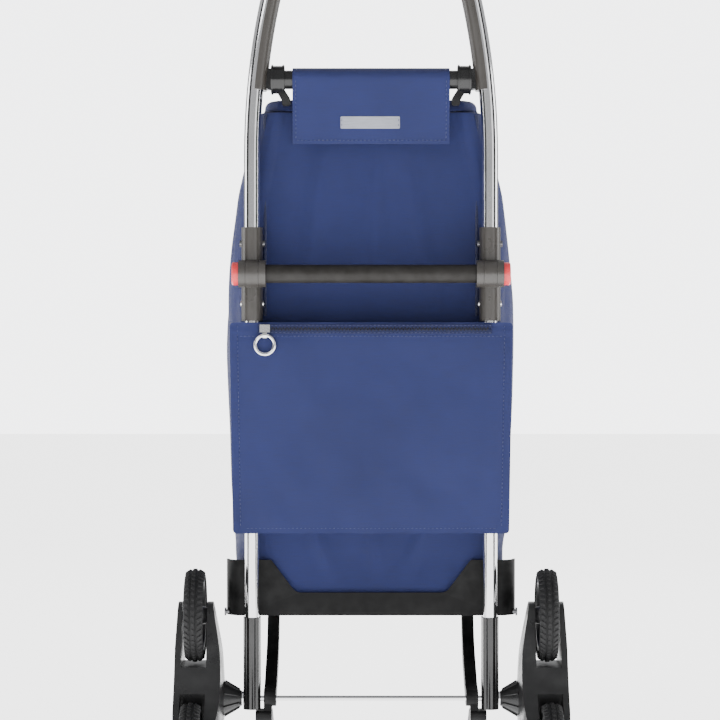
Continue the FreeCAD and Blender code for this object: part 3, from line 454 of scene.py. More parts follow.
def walk(points, pitch):
    """Evenly spaced (place, direction) pairs along a polyline."""
    spans = [(a, b, (b - a).length) for a, b in zip(points, points[1:])]
    total = sum(length for _, _, length in spans)
    count = max(1, int(total / pitch))
    for number in range(count):
        along = (number + 0.5) * total / count
        for a, b, length in spans:
            if along <= length:
                yield a.lerp(b, along / length), (b - a).normalized()
                break
            along -= length


def stitch_run(name, paths, normal, body):
    """A sewn line: a row of short thread beads along each path, flat to the cloth."""
    length = sizes().stitch_length
    tool = bmesh.new()
    out = Vector(normal)
    for path in paths:
        points = [Vector(point) for point in path]
        for place, direction in walk(points, length + sizes().stitch_gap):
            side = out.cross(direction).normalized()
            turn = Matrix((direction * length / 2, side * STITCH_WIDTH,
                           out * STITCH_WIDTH)).transposed()
            bmesh.ops.create_uvsphere(tool, u_segments=6, v_segments=5, radius=1.0,
                                      matrix=Matrix.Translation(place) @ turn.to_4x4())
    return make_piece(name, tool, "thread", body, smooth=80, cloth=True)


def bead_run(name, paths, radius, finish, body):
    """A round bead, such as piping or binding, along each path."""
    curve = bpy.data.curves.new(name, "CURVE")
    curve.dimensions = "3D"
    curve.bevel_depth = radius
    curve.bevel_resolution = 1
    curve.use_fill_caps = True
    for path in paths:
        spline = curve.splines.new("NURBS")
        spline.points.add(len(path) - 1)
        for point, place in zip(spline.points, path):
            point.co = tuple(place) + (1.0,)
        spline.order_u = 3
        spline.use_endpoint_u = True
    holder = put(name + "_path", curve)
    graph = bpy.context.evaluated_depsgraph_get()
    mesh = bpy.data.meshes.new_from_object(holder.evaluated_get(graph), depsgraph=graph)
    bpy.data.objects.remove(holder)
    bpy.data.curves.remove(curve)
    tool = bmesh.new()
    tool.from_mesh(mesh)
    bpy.data.meshes.remove(mesh)
    bmesh.ops.remove_doubles(tool, verts=tool.verts, dist=SAME_PLACE)
    bmesh.ops.recalc_face_normals(tool, faces=tool.faces)
    return make_piece(name, tool, finish, body, smooth=60, cloth=True)


def settle(piece, pinned, pressure, cap):
    """Let the cloth of a piece swell under pressure, hold its pinned points and cap every move."""
    start = [point.co.copy() for point in piece.data.vertices]
    held = piece.vertex_groups.new(name="held")
    held.add(pinned, 1.0, "REPLACE")
    cloth = modify(piece, "CLOTH")
    cloth.settings.vertex_group_mass = "held"
    cloth.settings.use_pressure = True
    cloth.settings.uniform_pressure_force = pressure
    cloth.settings.effector_weights.gravity = 0.0
    cloth.settings.quality = 5
    cloth.settings.tension_stiffness = 12
    cloth.settings.compression_stiffness = 12
    cloth.settings.bending_stiffness = 0.8
    cloth.point_cache.frame_end = SETTLE_FRAMES
    for number in range(1, SETTLE_FRAMES + 1):
        bpy.context.scene.frame_set(number)
    apply_modifiers(piece)
    bpy.context.scene.frame_set(1)
    for point, before in zip(piece.data.vertices, start):
        move = point.co - before
        if move.length > cap:
            point.co = before + move.normalized() * cap
    piece.vertex_groups.clear()


# ---------------------------------------------------------------- the bag

# height, half width there, and how far the front leans back there
BAG_ROWS = ((0.2100, 0.158, 0.0), (0.300, 0.1620, 0.0), (0.440, 0.1670, 0.0), (0.574, 0.1710, 0.0),
            (0.640, 0.1640, 0.004), (0.698, 0.1545, 0.008), (0.750, 0.1415, 0.017),
            (0.7975, 0.1285, 0.026))
BAG_BACK = -0.0431
BAG_FRONT = 0.1829
BAG_CORNER = 0.038
BAG_HALF = 0.171                # half width of the uncut block, the widest row
BAG_PITCH = 0.0085              # spacing of the cuts that let the bag bend
BACK_PANEL = BAG_BACK + 0.012   # what lies behind this is the bag's back panel
CRISP_FROM, CRISP_RISE = 0.58, 0.12   # height at which the rear corners start to turn square
BULGE, BULGE_CAP = 1.2, 0.007   # pressure inside the bag, and the most a point may move
TRAY_BUNCH = 0.285              # height at which the cloth bunches above the tray


def bag_limits(height):
    """Half width and front of the bag at a height."""
    for (z0, half0, lean0), (z1, half1, lean1) in zip(BAG_ROWS, BAG_ROWS[1:]):
        if height <= z1:
            share = max(0.0, (height - z0) / (z1 - z0))
            return half0 + (half1 - half0) * share, BAG_FRONT - (lean0 + (lean1 - lean0) * share)
    return BAG_ROWS[-1][1], BAG_FRONT - BAG_ROWS[-1][2]


def bag_tool():
    """The bag's outside as a rounded block without a lid, sized row by row."""
    low = (-BAG_HALF, BAG_BACK, BAG_ROWS[0][0])
    high = (BAG_HALF, BAG_FRONT, BAG_ROWS[-1][0])
    tool = sized(low, high)
    rounded(tool, edges_along(tool, 2), BAG_CORNER, 8)
    slice_up(tool, low, high, BAG_PITCH)
    bottom = [edge for edge in tool.edges if len(edge.link_faces) == 2
              and edge.calc_face_angle(0) > 1.0 and max(v.co.z for v in edge.verts) < low[2] + 1e-4]
    rounded(tool, bottom, 0.006, 2)
    drop_faces(tool, lambda face: (face.normal.z > 0.9
                                   and face.calc_center_median().z > high[2] - 1e-3))
    for point in tool.verts:
        over_x = abs(point.co.x) - (high[0] - BAG_CORNER)
        over_y = (BAG_BACK + BAG_CORNER) - point.co.y
        if over_x > 0 and over_y > 0:
            crisp = max(0.0, min(1.0, (point.co.z - CRISP_FROM) / CRISP_RISE))
            squarer = 0.30 * crisp * math.sin(2 * math.atan2(over_y, over_x))
            point.co.x += math.copysign(over_x * squarer, point.co.x)
            point.co.y -= over_y * squarer
        half, front = bag_limits(point.co.z)
        point.co.x *= half / high[0]
        deep = (point.co.y - BAG_BACK) * (front - BAG_BACK) / (BAG_FRONT - BAG_BACK)
        point.co.y = BAG_BACK + deep
    return tool


def crease(place, depth):
    """Long, soft folds that run up and down cloth and lean with its height."""
    waves = noise.noise(Vector((place.x * 11, place.y * 11, place.z * 3.2)))
    slant = noise.noise(Vector((place.x * 26 + place.z * 9, place.y * 20,
                                place.z * 6 - place.x * 5)))
    crest = noise.noise(Vector((place.x * 17 - 3, place.y * 15, place.z * 4 + place.x * 8)))
    ridge = 1 - abs(crest) * 2
    return depth * (0.55 * waves + 0.30 * slant + 0.25 * (ridge - 0.6))


def fold_cloth(piece, depth, inward_at, hold):
    """Push a piece's points along their normals; hold(point) is the share that may move."""
    for point in piece.data.vertices:
        move = crease(point.co, depth) + inward_at(point.co)
        point.co += point.normal * move * hold(point.co)
    piece.data.update()


def edge_fade(value, low, high, width):
    """0 at either limit, 1 once further than a width inside them."""
    return max(0.0, min(1.0, (value - low) / width, (high - value) / width))


class TROLLEY_OT_bag(bpy.types.Operator):
    """Sew the padded bag with its folds"""
    bl_idname = "trolley.bag"
    bl_label = "Sew the bag"

    def execute(self, context):
        tool = bag_tool()
        bmesh.ops.recalc_face_normals(tool, faces=tool.faces)
        bag = make_piece("bag_shell", tool, "cloth", "lower_frame", ["bag_body"], smooth=60,
                         cloth=True)
        pinned = [point.index for point in bag.data.vertices
                  if point.co.z > 0.790 or point.co.z < 0.262 or point.co.y < BAG_BACK + 0.001]
        settle(bag, pinned, BULGE, BULGE_CAP)

        def sag(place):
            """Slack cloth dips in the middle of a panel and bunches just above the tray."""
            band = math.exp(-((place.z - TRAY_BUNCH) / 0.018) ** 2)
            wrinkle = noise.noise(Vector((place.x * 42, place.y * 42, place.z * 70)))
            if place.y > BACK_PANEL:
                return -0.0026 * band + 0.0030 * band * wrinkle
            drape = 0.0
            for foot, slant in ((-0.062, 0.16), (0.050, -0.20), (0.006, 0.05)):
                off = place.x - foot - slant * (place.z - 0.70)
                drape += math.exp(-(off / 0.011) ** 2) * edge_fade(place.z, 0.575, 0.80, 0.09)
                low = place.x - foot * 0.8 + slant * 2.2 * (place.z - 0.25)
                drape += math.exp(-(low / 0.0065) ** 2) * edge_fade(place.z, 0.225, 0.34, 0.04)
            return -0.0060 + 0.0062 * drape + 0.0012 * wrinkle

        def free(place):
            """The back may only move between the frame's tubes and clear of the crossbar."""
            height = edge_fade(place.z, 0.235, 0.796, 0.03)
            if place.y > BACK_PANEL:
                return height
            return height * edge_fade(place.x, -0.120, 0.120, 0.035)

        bag.data.update()
        fold_cloth(bag, 0.0060, sag, free)
        modify(bag, "SOLIDIFY", thickness=sizes().fabric_wall, offset=-1.0)
        modify(bag, "SUBSURF", levels=1)
        apply_modifiers(bag)
        cloth_map(bag.data)
        self.squash_bag(bag)
        return {"FINISHED"}

    @staticmethod
    def squash_bag(piece):
        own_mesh(piece)


class TROLLEY_OT_seams(bpy.types.Operator):
    """Lay the piped seams up the bag's four upright corners"""
    bl_idname = "trolley.seams"
    bl_label = "Pipe the seams"

    def execute(self, context):
        reach = BAG_CORNER * (1 - math.sqrt(0.5))
        rear_steps, front_steps = 20, 60
        foot, mouth = 0.222, 0.786
        paths = []
        for side in SIDES.values():
            paths.append([Vector((side * 0.1258, BAG_BACK - 0.0003,
                                  0.556 + 0.238 * step / (rear_steps - 1)))
                          for step in range(rear_steps)])
            path = []
            away = Vector((side, 1, 0)).normalized()
            for step in range(front_steps):
                height = foot + (mouth - foot) * step / (front_steps - 1)
                half, front = bag_limits(height)
                scale = half / BAG_HALF
                base = Vector((side * (half - reach * scale), front - reach, height))
                lift = crease(base, 0.0045) * edge_fade(height, 0.255, 0.800, 0.03)
                path.append(base + away * (0.0004 + max(-0.001, lift * 0.5)))
            paths.append(path)
        piping = bead_run("bag_piping", paths, sizes().piping, "cloth_binding", "lower_frame")
        TROLLEY_OT_bag.squash_bag(piping)
        return {"FINISHED"}


def flat_panel(low, high, pitch, corner=0.0):
    """A thin sheet in the XZ plane as a closed block, sliced fine enough to bend."""
    tool = sized(low, high)
    if corner:
        rounded(tool, edges_along(tool, 1), corner, 3)
    slice_up(tool, low, high, pitch, axes=(0, 2))
    return tool


POCKET_FOOT_HALF = 0.162        # half width of the pocket at its foot and at its top
POCKET_TOP_HALF = 0.166
POCKET_LOW = (-POCKET_TOP_HALF, -0.0786, 0.2995)
POCKET_HIGH = (POCKET_TOP_HALF, -0.0756, 0.5470)
POCKET_SEAM = 0.5310            # height of the seam under the zip
POCKET_HEM = 0.0060             # distance of the bottom seam from the edge
SIDE_HEM = 0.0090               # distance of a side seam from the edge
SEAM_DIP, SEAM_HALF = 0.0007, 0.0016   # how deep and how wide a seam pulls the cloth in
WEB_BACK, WEB_FRONT = -0.0757, -0.0436


def pocket_half(height):
    """Half width of the pocket at a height."""
    share = (height - POCKET_LOW[2]) / (POCKET_HIGH[2] - POCKET_LOW[2])
    return POCKET_FOOT_HALF + (POCKET_TOP_HALF - POCKET_FOOT_HALF) * share


def pocket_relief(place):
    """How far the pocket's cloth stands in or out at a place, in metres."""
    across = 1 - (place.x / POCKET_TOP_HALF) ** 2
    slack = 0.0010 * across * edge_fade(place.z, POCKET_LOW[2], 0.530, 0.08)
    fold = 0.0024 * noise.noise(Vector((place.x * 9, 0.3, place.z * 11)))
    fold += 0.0013 * noise.noise(Vector((place.x * 26 + place.z * 14, 2.1, place.z * 19)))
    sew = 0.0
    for line in (POCKET_SEAM, 0.5478 - 0.0042, POCKET_LOW[2] + POCKET_HEM):
        sew -= SEAM_DIP * math.exp(-((place.z - line) / SEAM_HALF) ** 2)
    side = pocket_half(place.z) - SIDE_HEM
    sew -= SEAM_DIP * math.exp(-((abs(place.x) - side) / SEAM_HALF) ** 2)
    return max(-0.0006, slack + fold * edge_fade(abs(place.x), -1, side, 0.02)) + sew


class TROLLEY_OT_pocket(bpy.types.Operator):
    """Sew the back pocket with its side webs, hem and stitched seams"""
    bl_idname = "trolley.pocket"
    bl_label = "Sew the back pocket"

    def execute(self, context):
        tool = flat_panel(POCKET_LOW, POCKET_HIGH, 0.0042, 0.004)
        for point in tool.verts:
            point.co.x *= pocket_half(point.co.z) / POCKET_TOP_HALF
            point.co.y -= pocket_relief(point.co)
        panel = make_piece("pocket_panel", tool, "cloth", "lower_frame", ["back_pocket"], cloth=True)
        web_low = (0, WEB_BACK, POCKET_LOW[2] + 0.002)
        web_high = (0.0022, WEB_FRONT, POCKET_HIGH[2] - 0.002)
        for side_name, side in SIDES.items():
            web = sized(web_low, web_high)
            slice_up(web, web_low, web_high, 0.0065)
            for point in web.verts:
                fold = 0.0013 * noise.noise(Vector((side * 4, point.co.y * 30, point.co.z * 22)))
                fold *= edge_fade(point.co.y, WEB_BACK, WEB_FRONT, 0.010)
                point.co.x = side * (pocket_half(point.co.z) - 0.0028 + point.co.x + fold)
            bmesh.ops.recalc_face_normals(web, faces=web.faces)
            piece = make_piece("pocket_web_" + side_name, web, "cloth", "lower_frame", cloth=True)

        def on_cloth(x, z):
            out = POCKET_LOW[1] - pocket_relief(Vector((x, 0, z))) - 0.0003
            return Vector((x, out, z))

        bottom = POCKET_LOW[2] + POCKET_HEM
        runs = [((side * (pocket_half(0.30) - SIDE_HEM), bottom + 0.002),
                 (side * (pocket_half(0.54) - SIDE_HEM), 0.5445)) for side in SIDES.values()]
        runs += [((-0.152, bottom), (0.152, bottom)), ((-0.155, POCKET_SEAM), (0.155, POCKET_SEAM))]
        lines = [traced(on_cloth, start, end, 40) for start, end in runs]
        stitch = stitch_run("pocket_stitches", lines, (0, -1, 0), "lower_frame")
        return {"FINISHED"}


TOOTH_PITCH = 0.0021
TOOTH_SIZE = (0.0012, 0.0014, 0.0026)


class TROLLEY_OT_zip(bpy.types.Operator):
    """Lay the pocket's zip: two tapes, a row of teeth and a stitched edge"""
    bl_idname = "trolley.zip"
    bl_label = "Lay the zip"

    def execute(self, context):
        low = Vector((-0.1330, -0.0798, 0.5339))
        high = Vector((0.1416, -0.0790, 0.5449))
        middle = (low.z + high.z) / 2
        half_gap = 0.0008
        for name, z0, z1 in (("upper", middle + half_gap, high.z),
                             ("lower", low.z, middle - half_gap)):
            tool = flat_panel((low.x, low.y, z0), (high.x, high.y, z1), 0.005)
            bmesh.ops.recalc_face_normals(tool, faces=tool.faces)
            tape = make_piece("zip_tape_" + name, tool, "zip_cloth", "lower_frame", ["pocket_zip"],
                              cloth=True)
        teeth = bmesh.new()
        count = int((high.x - low.x - 0.004) / TOOTH_PITCH)
        for number in range(count):
            x = low.x + 0.003 + number * TOOTH_PITCH
            lift = 0.0007 if number % 2 else -0.0007
            size = Matrix.Diagonal(TOOTH_SIZE + (1,))
            at = Matrix.Translation((x, low.y - 0.0002, middle + lift))
            bmesh.ops.create_cube(teeth, size=1.0, matrix=at @ size)
        rounded(teeth, teeth.edges[:], 0.0002, 1)
        row = make_piece("zip_teeth", teeth, "gloss", "lower_frame", cloth=True)
        edges = [[(low.x, low.y - 0.0002, z), (high.x, low.y - 0.0002, z)]
                 for z in (low.z + 0.0012, high.z - 0.0012)]
        stitch_run("zip_stitches", edges, (0, -1, 0), "lower_frame")
        return {"FINISHED"}


LID_LOW = (-0.1275, -0.0425, 0.7988)
LID_HIGH = (0.1275, 0.1590, 0.8128)
LID_CORNER = 0.037
LID_LEAN = 0.72                 # the rear edge leans in this much, to clear the flap as it opens
APRON_HALF = 0.090
APRON_LOW, APRON_TOP = 0.7372, 0.8010
APRON_BACK, APRON_SLOPE = 0.1588, 0.16
APRON_STITCH = 0.0045           # distance of the apron's seam from its edge


class TROLLEY_OT_lid(bpy.types.Operator):
    """Sew the lid: a domed cap with a bound edge and a front apron"""
    bl_idname = "trolley.lid"
    bl_label = "Sew the lid"

    def execute(self, context):
        low, high = LID_LOW, LID_HIGH
        tool = sized(low, high)
        rounded(tool, edges_along(tool, 2), LID_CORNER, 8)
        top = [edge for edge in tool.edges
               if len(edge.link_faces) == 2 and edge.calc_face_angle(0) > 1.0
               and min(v.co.z for v in edge.verts) > high[2] - 1e-4]
        rounded(tool, top, 0.0085, 4)
        slice_up(tool, low, (high[0], high[1], low[2] + 0.004), 0.008)
        drop_faces(tool, lambda face: face.normal.z < -0.9)
        bmesh.ops.recalc_face_normals(tool, faces=tool.faces)
        for point in tool.verts:
            place = point.co
            middle = (edge_fade(place.x, low[0], high[0], 0.09)
                      * edge_fade(place.y, low[1], high[1], 0.08))
            sag = 0.0016 * noise.noise(Vector((place.x * 14, place.y * 17, 3.0)))
            point.co.z += middle * (sag - 0.0022)
            point.co.y = max(place.y, low[1] + LID_LEAN * (place.z - low[2]))
        lid = make_piece("lid_cap", tool, "cloth", "bag_lid", ["bag_lid"], smooth=60, cloth=True)
        modify(lid, "SOLIDIFY", thickness=sizes().fabric_wall, offset=-1.0)
        modify(lid, "SUBSURF", levels=1)
        apply_modifiers(lid)
        cloth_map(lid.data)
        apron = flat_panel((-APRON_HALF, 0.0, APRON_LOW), (APRON_HALF, 0.0022, APRON_TOP), 0.005,
                           0.012)
        for point in apron.verts:
            drop = APRON_TOP - point.co.z
            wave = 0.0010 * noise.noise(Vector((point.co.x * 16, 1.0, point.co.z * 22)))
            point.co.y += APRON_BACK + drop * APRON_SLOPE + wave * drop / 0.06
        bmesh.ops.recalc_face_normals(apron, faces=apron.faces)
        front = make_piece("lid_apron", apron, "cloth", "bag_lid", cloth=True)
        rim = [self.rim_point(math.pi * (-0.17 + 1.34 * step / 90)) for step in range(91)]
        binding = bead_run("lid_binding", [rim], 0.0017, "cloth_binding", "bag_lid")
        side = APRON_HALF - APRON_STITCH
        foot = APRON_LOW + APRON_STITCH
        corners = [(-side, 0.794), (-side, foot + 0.008), (-side + 0.008, foot),
                   (side - 0.008, foot), (side, foot + 0.008), (side, 0.794)]
        stitches = [[(x, APRON_BACK + (APRON_TOP - z) * APRON_SLOPE + 0.0024, z)
                     for x, z in corners]]
        seam = stitch_run("lid_stitches", stitches, (0, 1, APRON_SLOPE), "bag_lid")
        for piece in (lid, front, binding, seam):
            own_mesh(piece)
        return {"FINISHED"}

    @staticmethod
    def rim_point(turn):
        """A point of the cap's rounded rectangle, in the direction of a turn."""
        across, deep = math.cos(turn), math.sin(turn)
        half = LID_HIGH[0]
        middle = (LID_LOW[1] + LID_HIGH[1]) / 2
        half_deep = (LID_HIGH[1] - LID_LOW[1]) / 2
        reach = min(half / max(abs(across), 1e-9), half_deep / max(abs(deep), 1e-9))
        x, y = across * reach, deep * reach
        over_x, over_y = abs(x) - (half - LID_CORNER), abs(y) - (half_deep - LID_CORNER)
        if over_x > 0 and over_y > 0:
            corner = Vector((over_x, over_y)).normalized() * LID_CORNER
            x = math.copysign(half - LID_CORNER + corner.x, x)
            y = math.copysign(half_deep - LID_CORNER + corner.y, y)
        return (x * 0.995, middle + y * 0.995, LID_LOW[2] + 0.0016)


FLAP_BAR = (-0.05813, 0.834)    # middle of the top bar, as (y, z)
FLAP_ROUND = 0.0127             # radius of the flap's turn over the bar
FLAP_HEM, FLAP_TOP = 0.7584, FLAP_BAR[1]
FLAP_FOOT, FLAP_LEAN = -0.0560, 0.0148   # y of the rear hem, and how far the top stands behind it
FLAP_SWELL = 0.0012
REAR_ROWS, ROUND_ROWS, FRONT_ROWS = 17, 16, 9
LABEL_WALL = 0.0007


def flap_rear(share):
    """Y of the flap's rear leg, at a share of the way up from its hem."""
    return FLAP_FOOT - FLAP_LEAN * share - math.sin(share * math.pi) * FLAP_SWELL


def flap_profile():
    """The flap's middle line from its rear hem over the bar and down in front, as (y, z)."""
    points = []
    for step in range(REAR_ROWS):
        share = step / (REAR_ROWS - 1)
        points.append((flap_rear(share), FLAP_HEM + (FLAP_TOP - FLAP_HEM) * share))
    for step in range(1, ROUND_ROWS):
        turn = math.pi * (1 - step / ROUND_ROWS)
        points.append((FLAP_BAR[0] + FLAP_ROUND * math.cos(turn),
                       FLAP_BAR[1] + FLAP_ROUND * math.sin(turn)))
    for step in range(1, FRONT_ROWS + 1):
        share = step / FRONT_ROWS
        points.append((-0.04543 + (-0.0448 + 0.04543) * share,
                       FLAP_TOP - (FLAP_TOP - 0.781) * share))
    return points


def flap_wave(x, z):
    """How far the flap's cloth stands off its middle line."""
    low = edge_fade(z, -1.0, FLAP_TOP, 0.05)
    return low * (0.0011 * noise.noise(Vector((x * 13, 7.0, z * 9)))
                  + 0.0005 * noise.noise(Vector((x * 40, 2.0, z * 28))))


class TROLLEY_OT_flap(bpy.types.Operator):
    """Hang the bag from the top bar by its stitched flap, with a plain woven label"""
    bl_idname = "trolley.flap"
    bl_label = "Hang the flap"

    def execute(self, context):
        line = flap_profile()
        columns = 50
        tool = bmesh.new()
        bmesh.ops.create_grid(tool, x_segments=columns, y_segments=len(line) - 1, size=0.5)
        for point in tool.verts:
            row = round((point.co.y + 0.5) * (len(line) - 1))
            y, z = line[row]
            x = point.co.x * 0.1852
            rear = row < REAR_ROWS
            point.co = (x, y - (flap_wave(x, z) if rear else 0.0), z)
        bmesh.ops.recalc_face_normals(tool, faces=tool.faces)
        flap = make_piece("hanging_flap", tool, "cloth", "lower_frame", ["hang_flap"], smooth=70)
        modify(flap, "SOLIDIFY", thickness=0.0021, offset=0.0)
        modify(flap, "BEVEL", width=0.0005, segments=2, limit_method="ANGLE")
        apply_modifiers(flap)
        cloth_map(flap.data)

        def on_flap(x, z):
            share = (z - FLAP_HEM) / (FLAP_TOP - FLAP_HEM)
            return Vector((x, flap_rear(share) - flap_wave(x, z) - 0.0014, z))

        edge = 0.0926 - 0.0040
        runs = [((-edge, 0.7626), (edge, 0.7626)), ((-edge, 0.8330), (-edge, 0.7640)),
                ((edge, 0.8330), (edge, 0.7640))]
        paths = [traced(on_flap, start, end, 30) for start, end in runs]
        stitches = stitch_run("flap_stitches", paths, (0, -1, 0.1), "lower_frame")
        label = flat_panel((-0.036, 0.0, 0.7760), (0.034, LABEL_WALL, 0.7900), 0.004, 0.0012)
        for point in label.verts:
            outside = on_flap(point.co.x, point.co.z).y
            point.co.y = outside + 0.0004 - (LABEL_WALL - point.co.y)
        bmesh.ops.recalc_face_normals(label, faces=label.faces)
        tag = make_piece("woven_label", label, "label_cloth", "lower_frame", cloth=True)
        above = Vector((0, 0.0006, 0))
        sewn = [[on_flap(x, 0.7775) - above, on_flap(x, 0.7885) - above] for x in (-0.0345, 0.0325)]
        tag_stitches = stitch_run("label_stitches", sewn, (0, -1, 0.1), "lower_frame")
        for piece in (flap, stitches, tag, tag_stitches):
            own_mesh(piece)
        return {"FINISHED"}


# ---------------------------------------------------------------- wheels and hardware

AXLE = Vector((0.0, -0.06113, 0.104))
WHEEL_ANGLES = {"top": 90, "rear": 210, "front": 330}
WHEEL_MIDDLE = 0.20735          # how far a wheel's middle is from the trolley's
WHEEL_REACH = 0.098             # distance of a wheel's pin from the axle
TYRE_HALF = 0.0114
HALF_PROFILE = ((0.0022, 0.0539), (0.0028, 0.0528), (0.0036, 0.0528), (0.0042, 0.0534),
                (TYRE_HALF - 0.0040, 0.0520), (TYRE_HALF - 0.0012, 0.0498),
                (TYRE_HALF + 0.0001, 0.0472), (TYRE_HALF, 0.0450), (TYRE_HALF - 0.0016, 0.0431))


def spun(tool, profile, steps):
    """Turn a closed profile, as (x, distance from the axis), round the X axis."""
    points = [tool.verts.new((x, 0, out)) for x, out in profile]
    edges = [tool.edges.new(pair) for pair in zip(points, points[1:] + points[:1])]
    bmesh.ops.spin(tool, geom=points + edges, cent=(0, 0, 0), axis=(1, 0, 0), angle=math.tau,
                   steps=steps, use_merge=True)


class TROLLEY_OT_tyres(bpy.types.Operator):
    """Turn the six tyres and set their tread blocks"""
    bl_idname = "trolley.tyres"
    bl_label = "Make the tyres"

    def execute(self, context):
        profile = [(-x, out) for x, out in reversed(HALF_PROFILE)] + list(HALF_PROFILE)
        for spot, degrees in WHEEL_ANGLES.items():
            for side_name, side in SIDES.items():
                turn = math.radians(degrees)
                centre = AXLE + Vector((side * WHEEL_MIDDLE, WHEEL_REACH * math.cos(turn),
                                        WHEEL_REACH * math.sin(turn)))
                tool = bmesh.new()
                spun(tool, profile, 72)
                bmesh.ops.remove_doubles(tool, verts=tool.verts, dist=SAME_PLACE)
                self.add_blocks(tool)
                bmesh.ops.recalc_face_normals(tool, faces=tool.faces)
                bmesh.ops.translate(tool, vec=centre, verts=tool.verts)
                body = "wheel_%s_%s" % (spot, side_name)
                tyre = make_piece("tread_%s_%s" % (spot, side_name), tool, "tyre", body,
                                  ["tyre_%s_%s" % (spot, side_name)], smooth=38)
        return {"FINISHED"}

    @staticmethod
    def add_blocks(tool):
        """Staggered blocks over both shoulders and short ribs down the middle."""
        blocks = bmesh.new()
        count = sizes().tread_blocks
        for number in range(count):
            for lane, shift in ((-1, 0.0), (0, 0.25), (1, 0.5)):
                turn = math.tau * (number + shift) / count
                tilt = Matrix.Rotation(math.radians(lane * 24 if lane else -30), 4, "Z")
                width = 0.0066 if lane else 0.0040
                out = 0.0515 if lane else 0.0537
                lean = Matrix.Rotation(lane * math.radians(32), 4, "Y")
                at = Matrix.Translation((lane * (TYRE_HALF - 0.0035), 0, out))
                shape = Matrix.Diagonal((width, 0.0034, 0.0022, 1))
                around = Matrix.Rotation(turn, 4, "X")
                bmesh.ops.create_cube(blocks, size=1.0,
                                      matrix=around @ at @ lean @ tilt @ shape)
        rounded(blocks, blocks.edges[:], 0.0004, 1)
        mesh = mesh_of("blocks", blocks)
        tool.from_mesh(mesh)
        bpy.data.meshes.remove(mesh)


PAIRED_FINISHES = {             # nodes that exist once on each side
    "tube": ["lower_tube"],
    "dark_steel": ["wheel_pins"],
    "knuckle": ["lower_knuckle", "upper_knuckle"],
    "sleeve": ["leg_sleeve"],
    "gloss": ["bar_bracket"],
    "plastic": ["side_leg"],
    "carrier": ["carrier_inner", "carrier_outer", "hub_cap"],
    "rim": ["rim_" + spot for spot in WHEEL_SPOTS],
    "red": ["release_button"],
    "nylon": ["carrier_bush"],
}
SINGLE_FINISHES = {
    "tube": ["handle_arch"],
    "chrome": ["knuckle_rivets", "axle", "axle_washers", "zip_slider", "zip_ring", "folding_pins"],
    "dark_steel": ["knuckle_screws", "tray_hinge_pin"],
    "knuckle": ["handle_trim"],
    "crossbar": ["hinge_crossbar"],
    "gloss": ["top_bar"],
    "plastic": ["tray_back", "tray_floor"],
    "grip": ["handle_grip"],
    "foot": ["foot_pads"],
}


class TROLLEY_OT_hardware(bpy.types.Operator):
    """Finish the metal and moulded pieces"""
    bl_idname = "trolley.hardware"
    bl_label = "Finish the hardware"

    def execute(self, context):
        for finish, nodes in PAIRED_FINISHES.items():
            for node in nodes:
                for side_name in SIDES:
                    paint_node(node + "_" + side_name, finish)
        for finish, nodes in SINGLE_FINISHES.items():
            for node in nodes:
                paint_node(node, finish)
        return {"FINISHED"}


COLLARS = (0.1035, 0.1165)      # where the two collars of a side stand on the top bar
COLLAR_HALF, COLLAR_IN, COLLAR_OUT = 0.0009, 0.0160, 0.0178
CONE_RIBS = 8
RIB_WALL = 0.0018


class TROLLEY_OT_fittings(bpy.types.Operator):
    """Add the button springs, the collars by the bar brackets and the ribs on the carriers' cones"""
    bl_idname = "trolley.fittings"
    bl_label = "Add the fittings"

    def execute(self, context):
        for side_name, side in SIDES.items():
            self.add_spring(side_name, side)
            self.add_collars(side_name, side)
            self.add_ribs(side_name, side)
        return {"FINISHED"}

    @staticmethod
    def add_spring(side_name, side):
        """The spring behind a release button, copied from its node and merged."""
        node = "button_spring_" + side_name
        tool = bmesh.new()
        tool.from_mesh(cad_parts[node].data)
        bmesh.ops.remove_doubles(tool, verts=tool.verts, dist=SAME_PLACE)
        spring = make_piece("spring_coil_" + side_name, tool, "dark_steel", "lower_frame", [node])
        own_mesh(spring)

    @staticmethod
    def add_collars(side_name, side):
        """Two thin rings round the top bar, one on each side of a bracket."""
        tool = bmesh.new()
        for across in COLLARS:
            ring = [(across - COLLAR_HALF, COLLAR_IN), (across - COLLAR_HALF, COLLAR_OUT),
                    (across + COLLAR_HALF, COLLAR_OUT), (across + COLLAR_HALF, COLLAR_IN)]
            spun(tool, [(side * x, out) for x, out in ring], 48)
        bmesh.ops.remove_doubles(tool, verts=tool.verts, dist=SAME_PLACE)
        bmesh.ops.recalc_face_normals(tool, faces=tool.faces)
        bmesh.ops.translate(tool, vec=(0, FLAP_BAR[0], FLAP_BAR[1]), verts=tool.verts)
        collar = make_piece("bracket_collars_" + side_name, tool, "gloss", "upper_frame")

    @staticmethod
    def add_ribs(side_name, side):
        """Thin ribs that rise along the cone of a carrier."""
        tool = bmesh.new()
        for number in range(CONE_RIBS):
            made = bmesh.ops.create_cube(tool, size=1.0)["verts"]
            for point in made:
                outer = point.co.x > 0
                high = point.co.z > 0
                x = 0.1722 if outer else 0.1545
                out = (0.0225 if outer else 0.0118) if high else 0.006
                point.co = (side * x, point.co.y * RIB_WALL, out)
            turn = Matrix.Rotation(math.tau * (number + 0.5) / CONE_RIBS, 3, "X")
            bmesh.ops.rotate(tool, verts=made, cent=(0, 0, 0), matrix=turn)
        rounded(tool, tool.edges[:], 0.0004, 1)
        bmesh.ops.recalc_face_normals(tool, faces=tool.faces)
        bmesh.ops.translate(tool, vec=AXLE, verts=tool.verts)
        ribs = make_piece("cone_ribs_" + side_name, tool, "carrier", "carrier_" + side_name)


# ---------------------------------------------------------------- stage and add-on

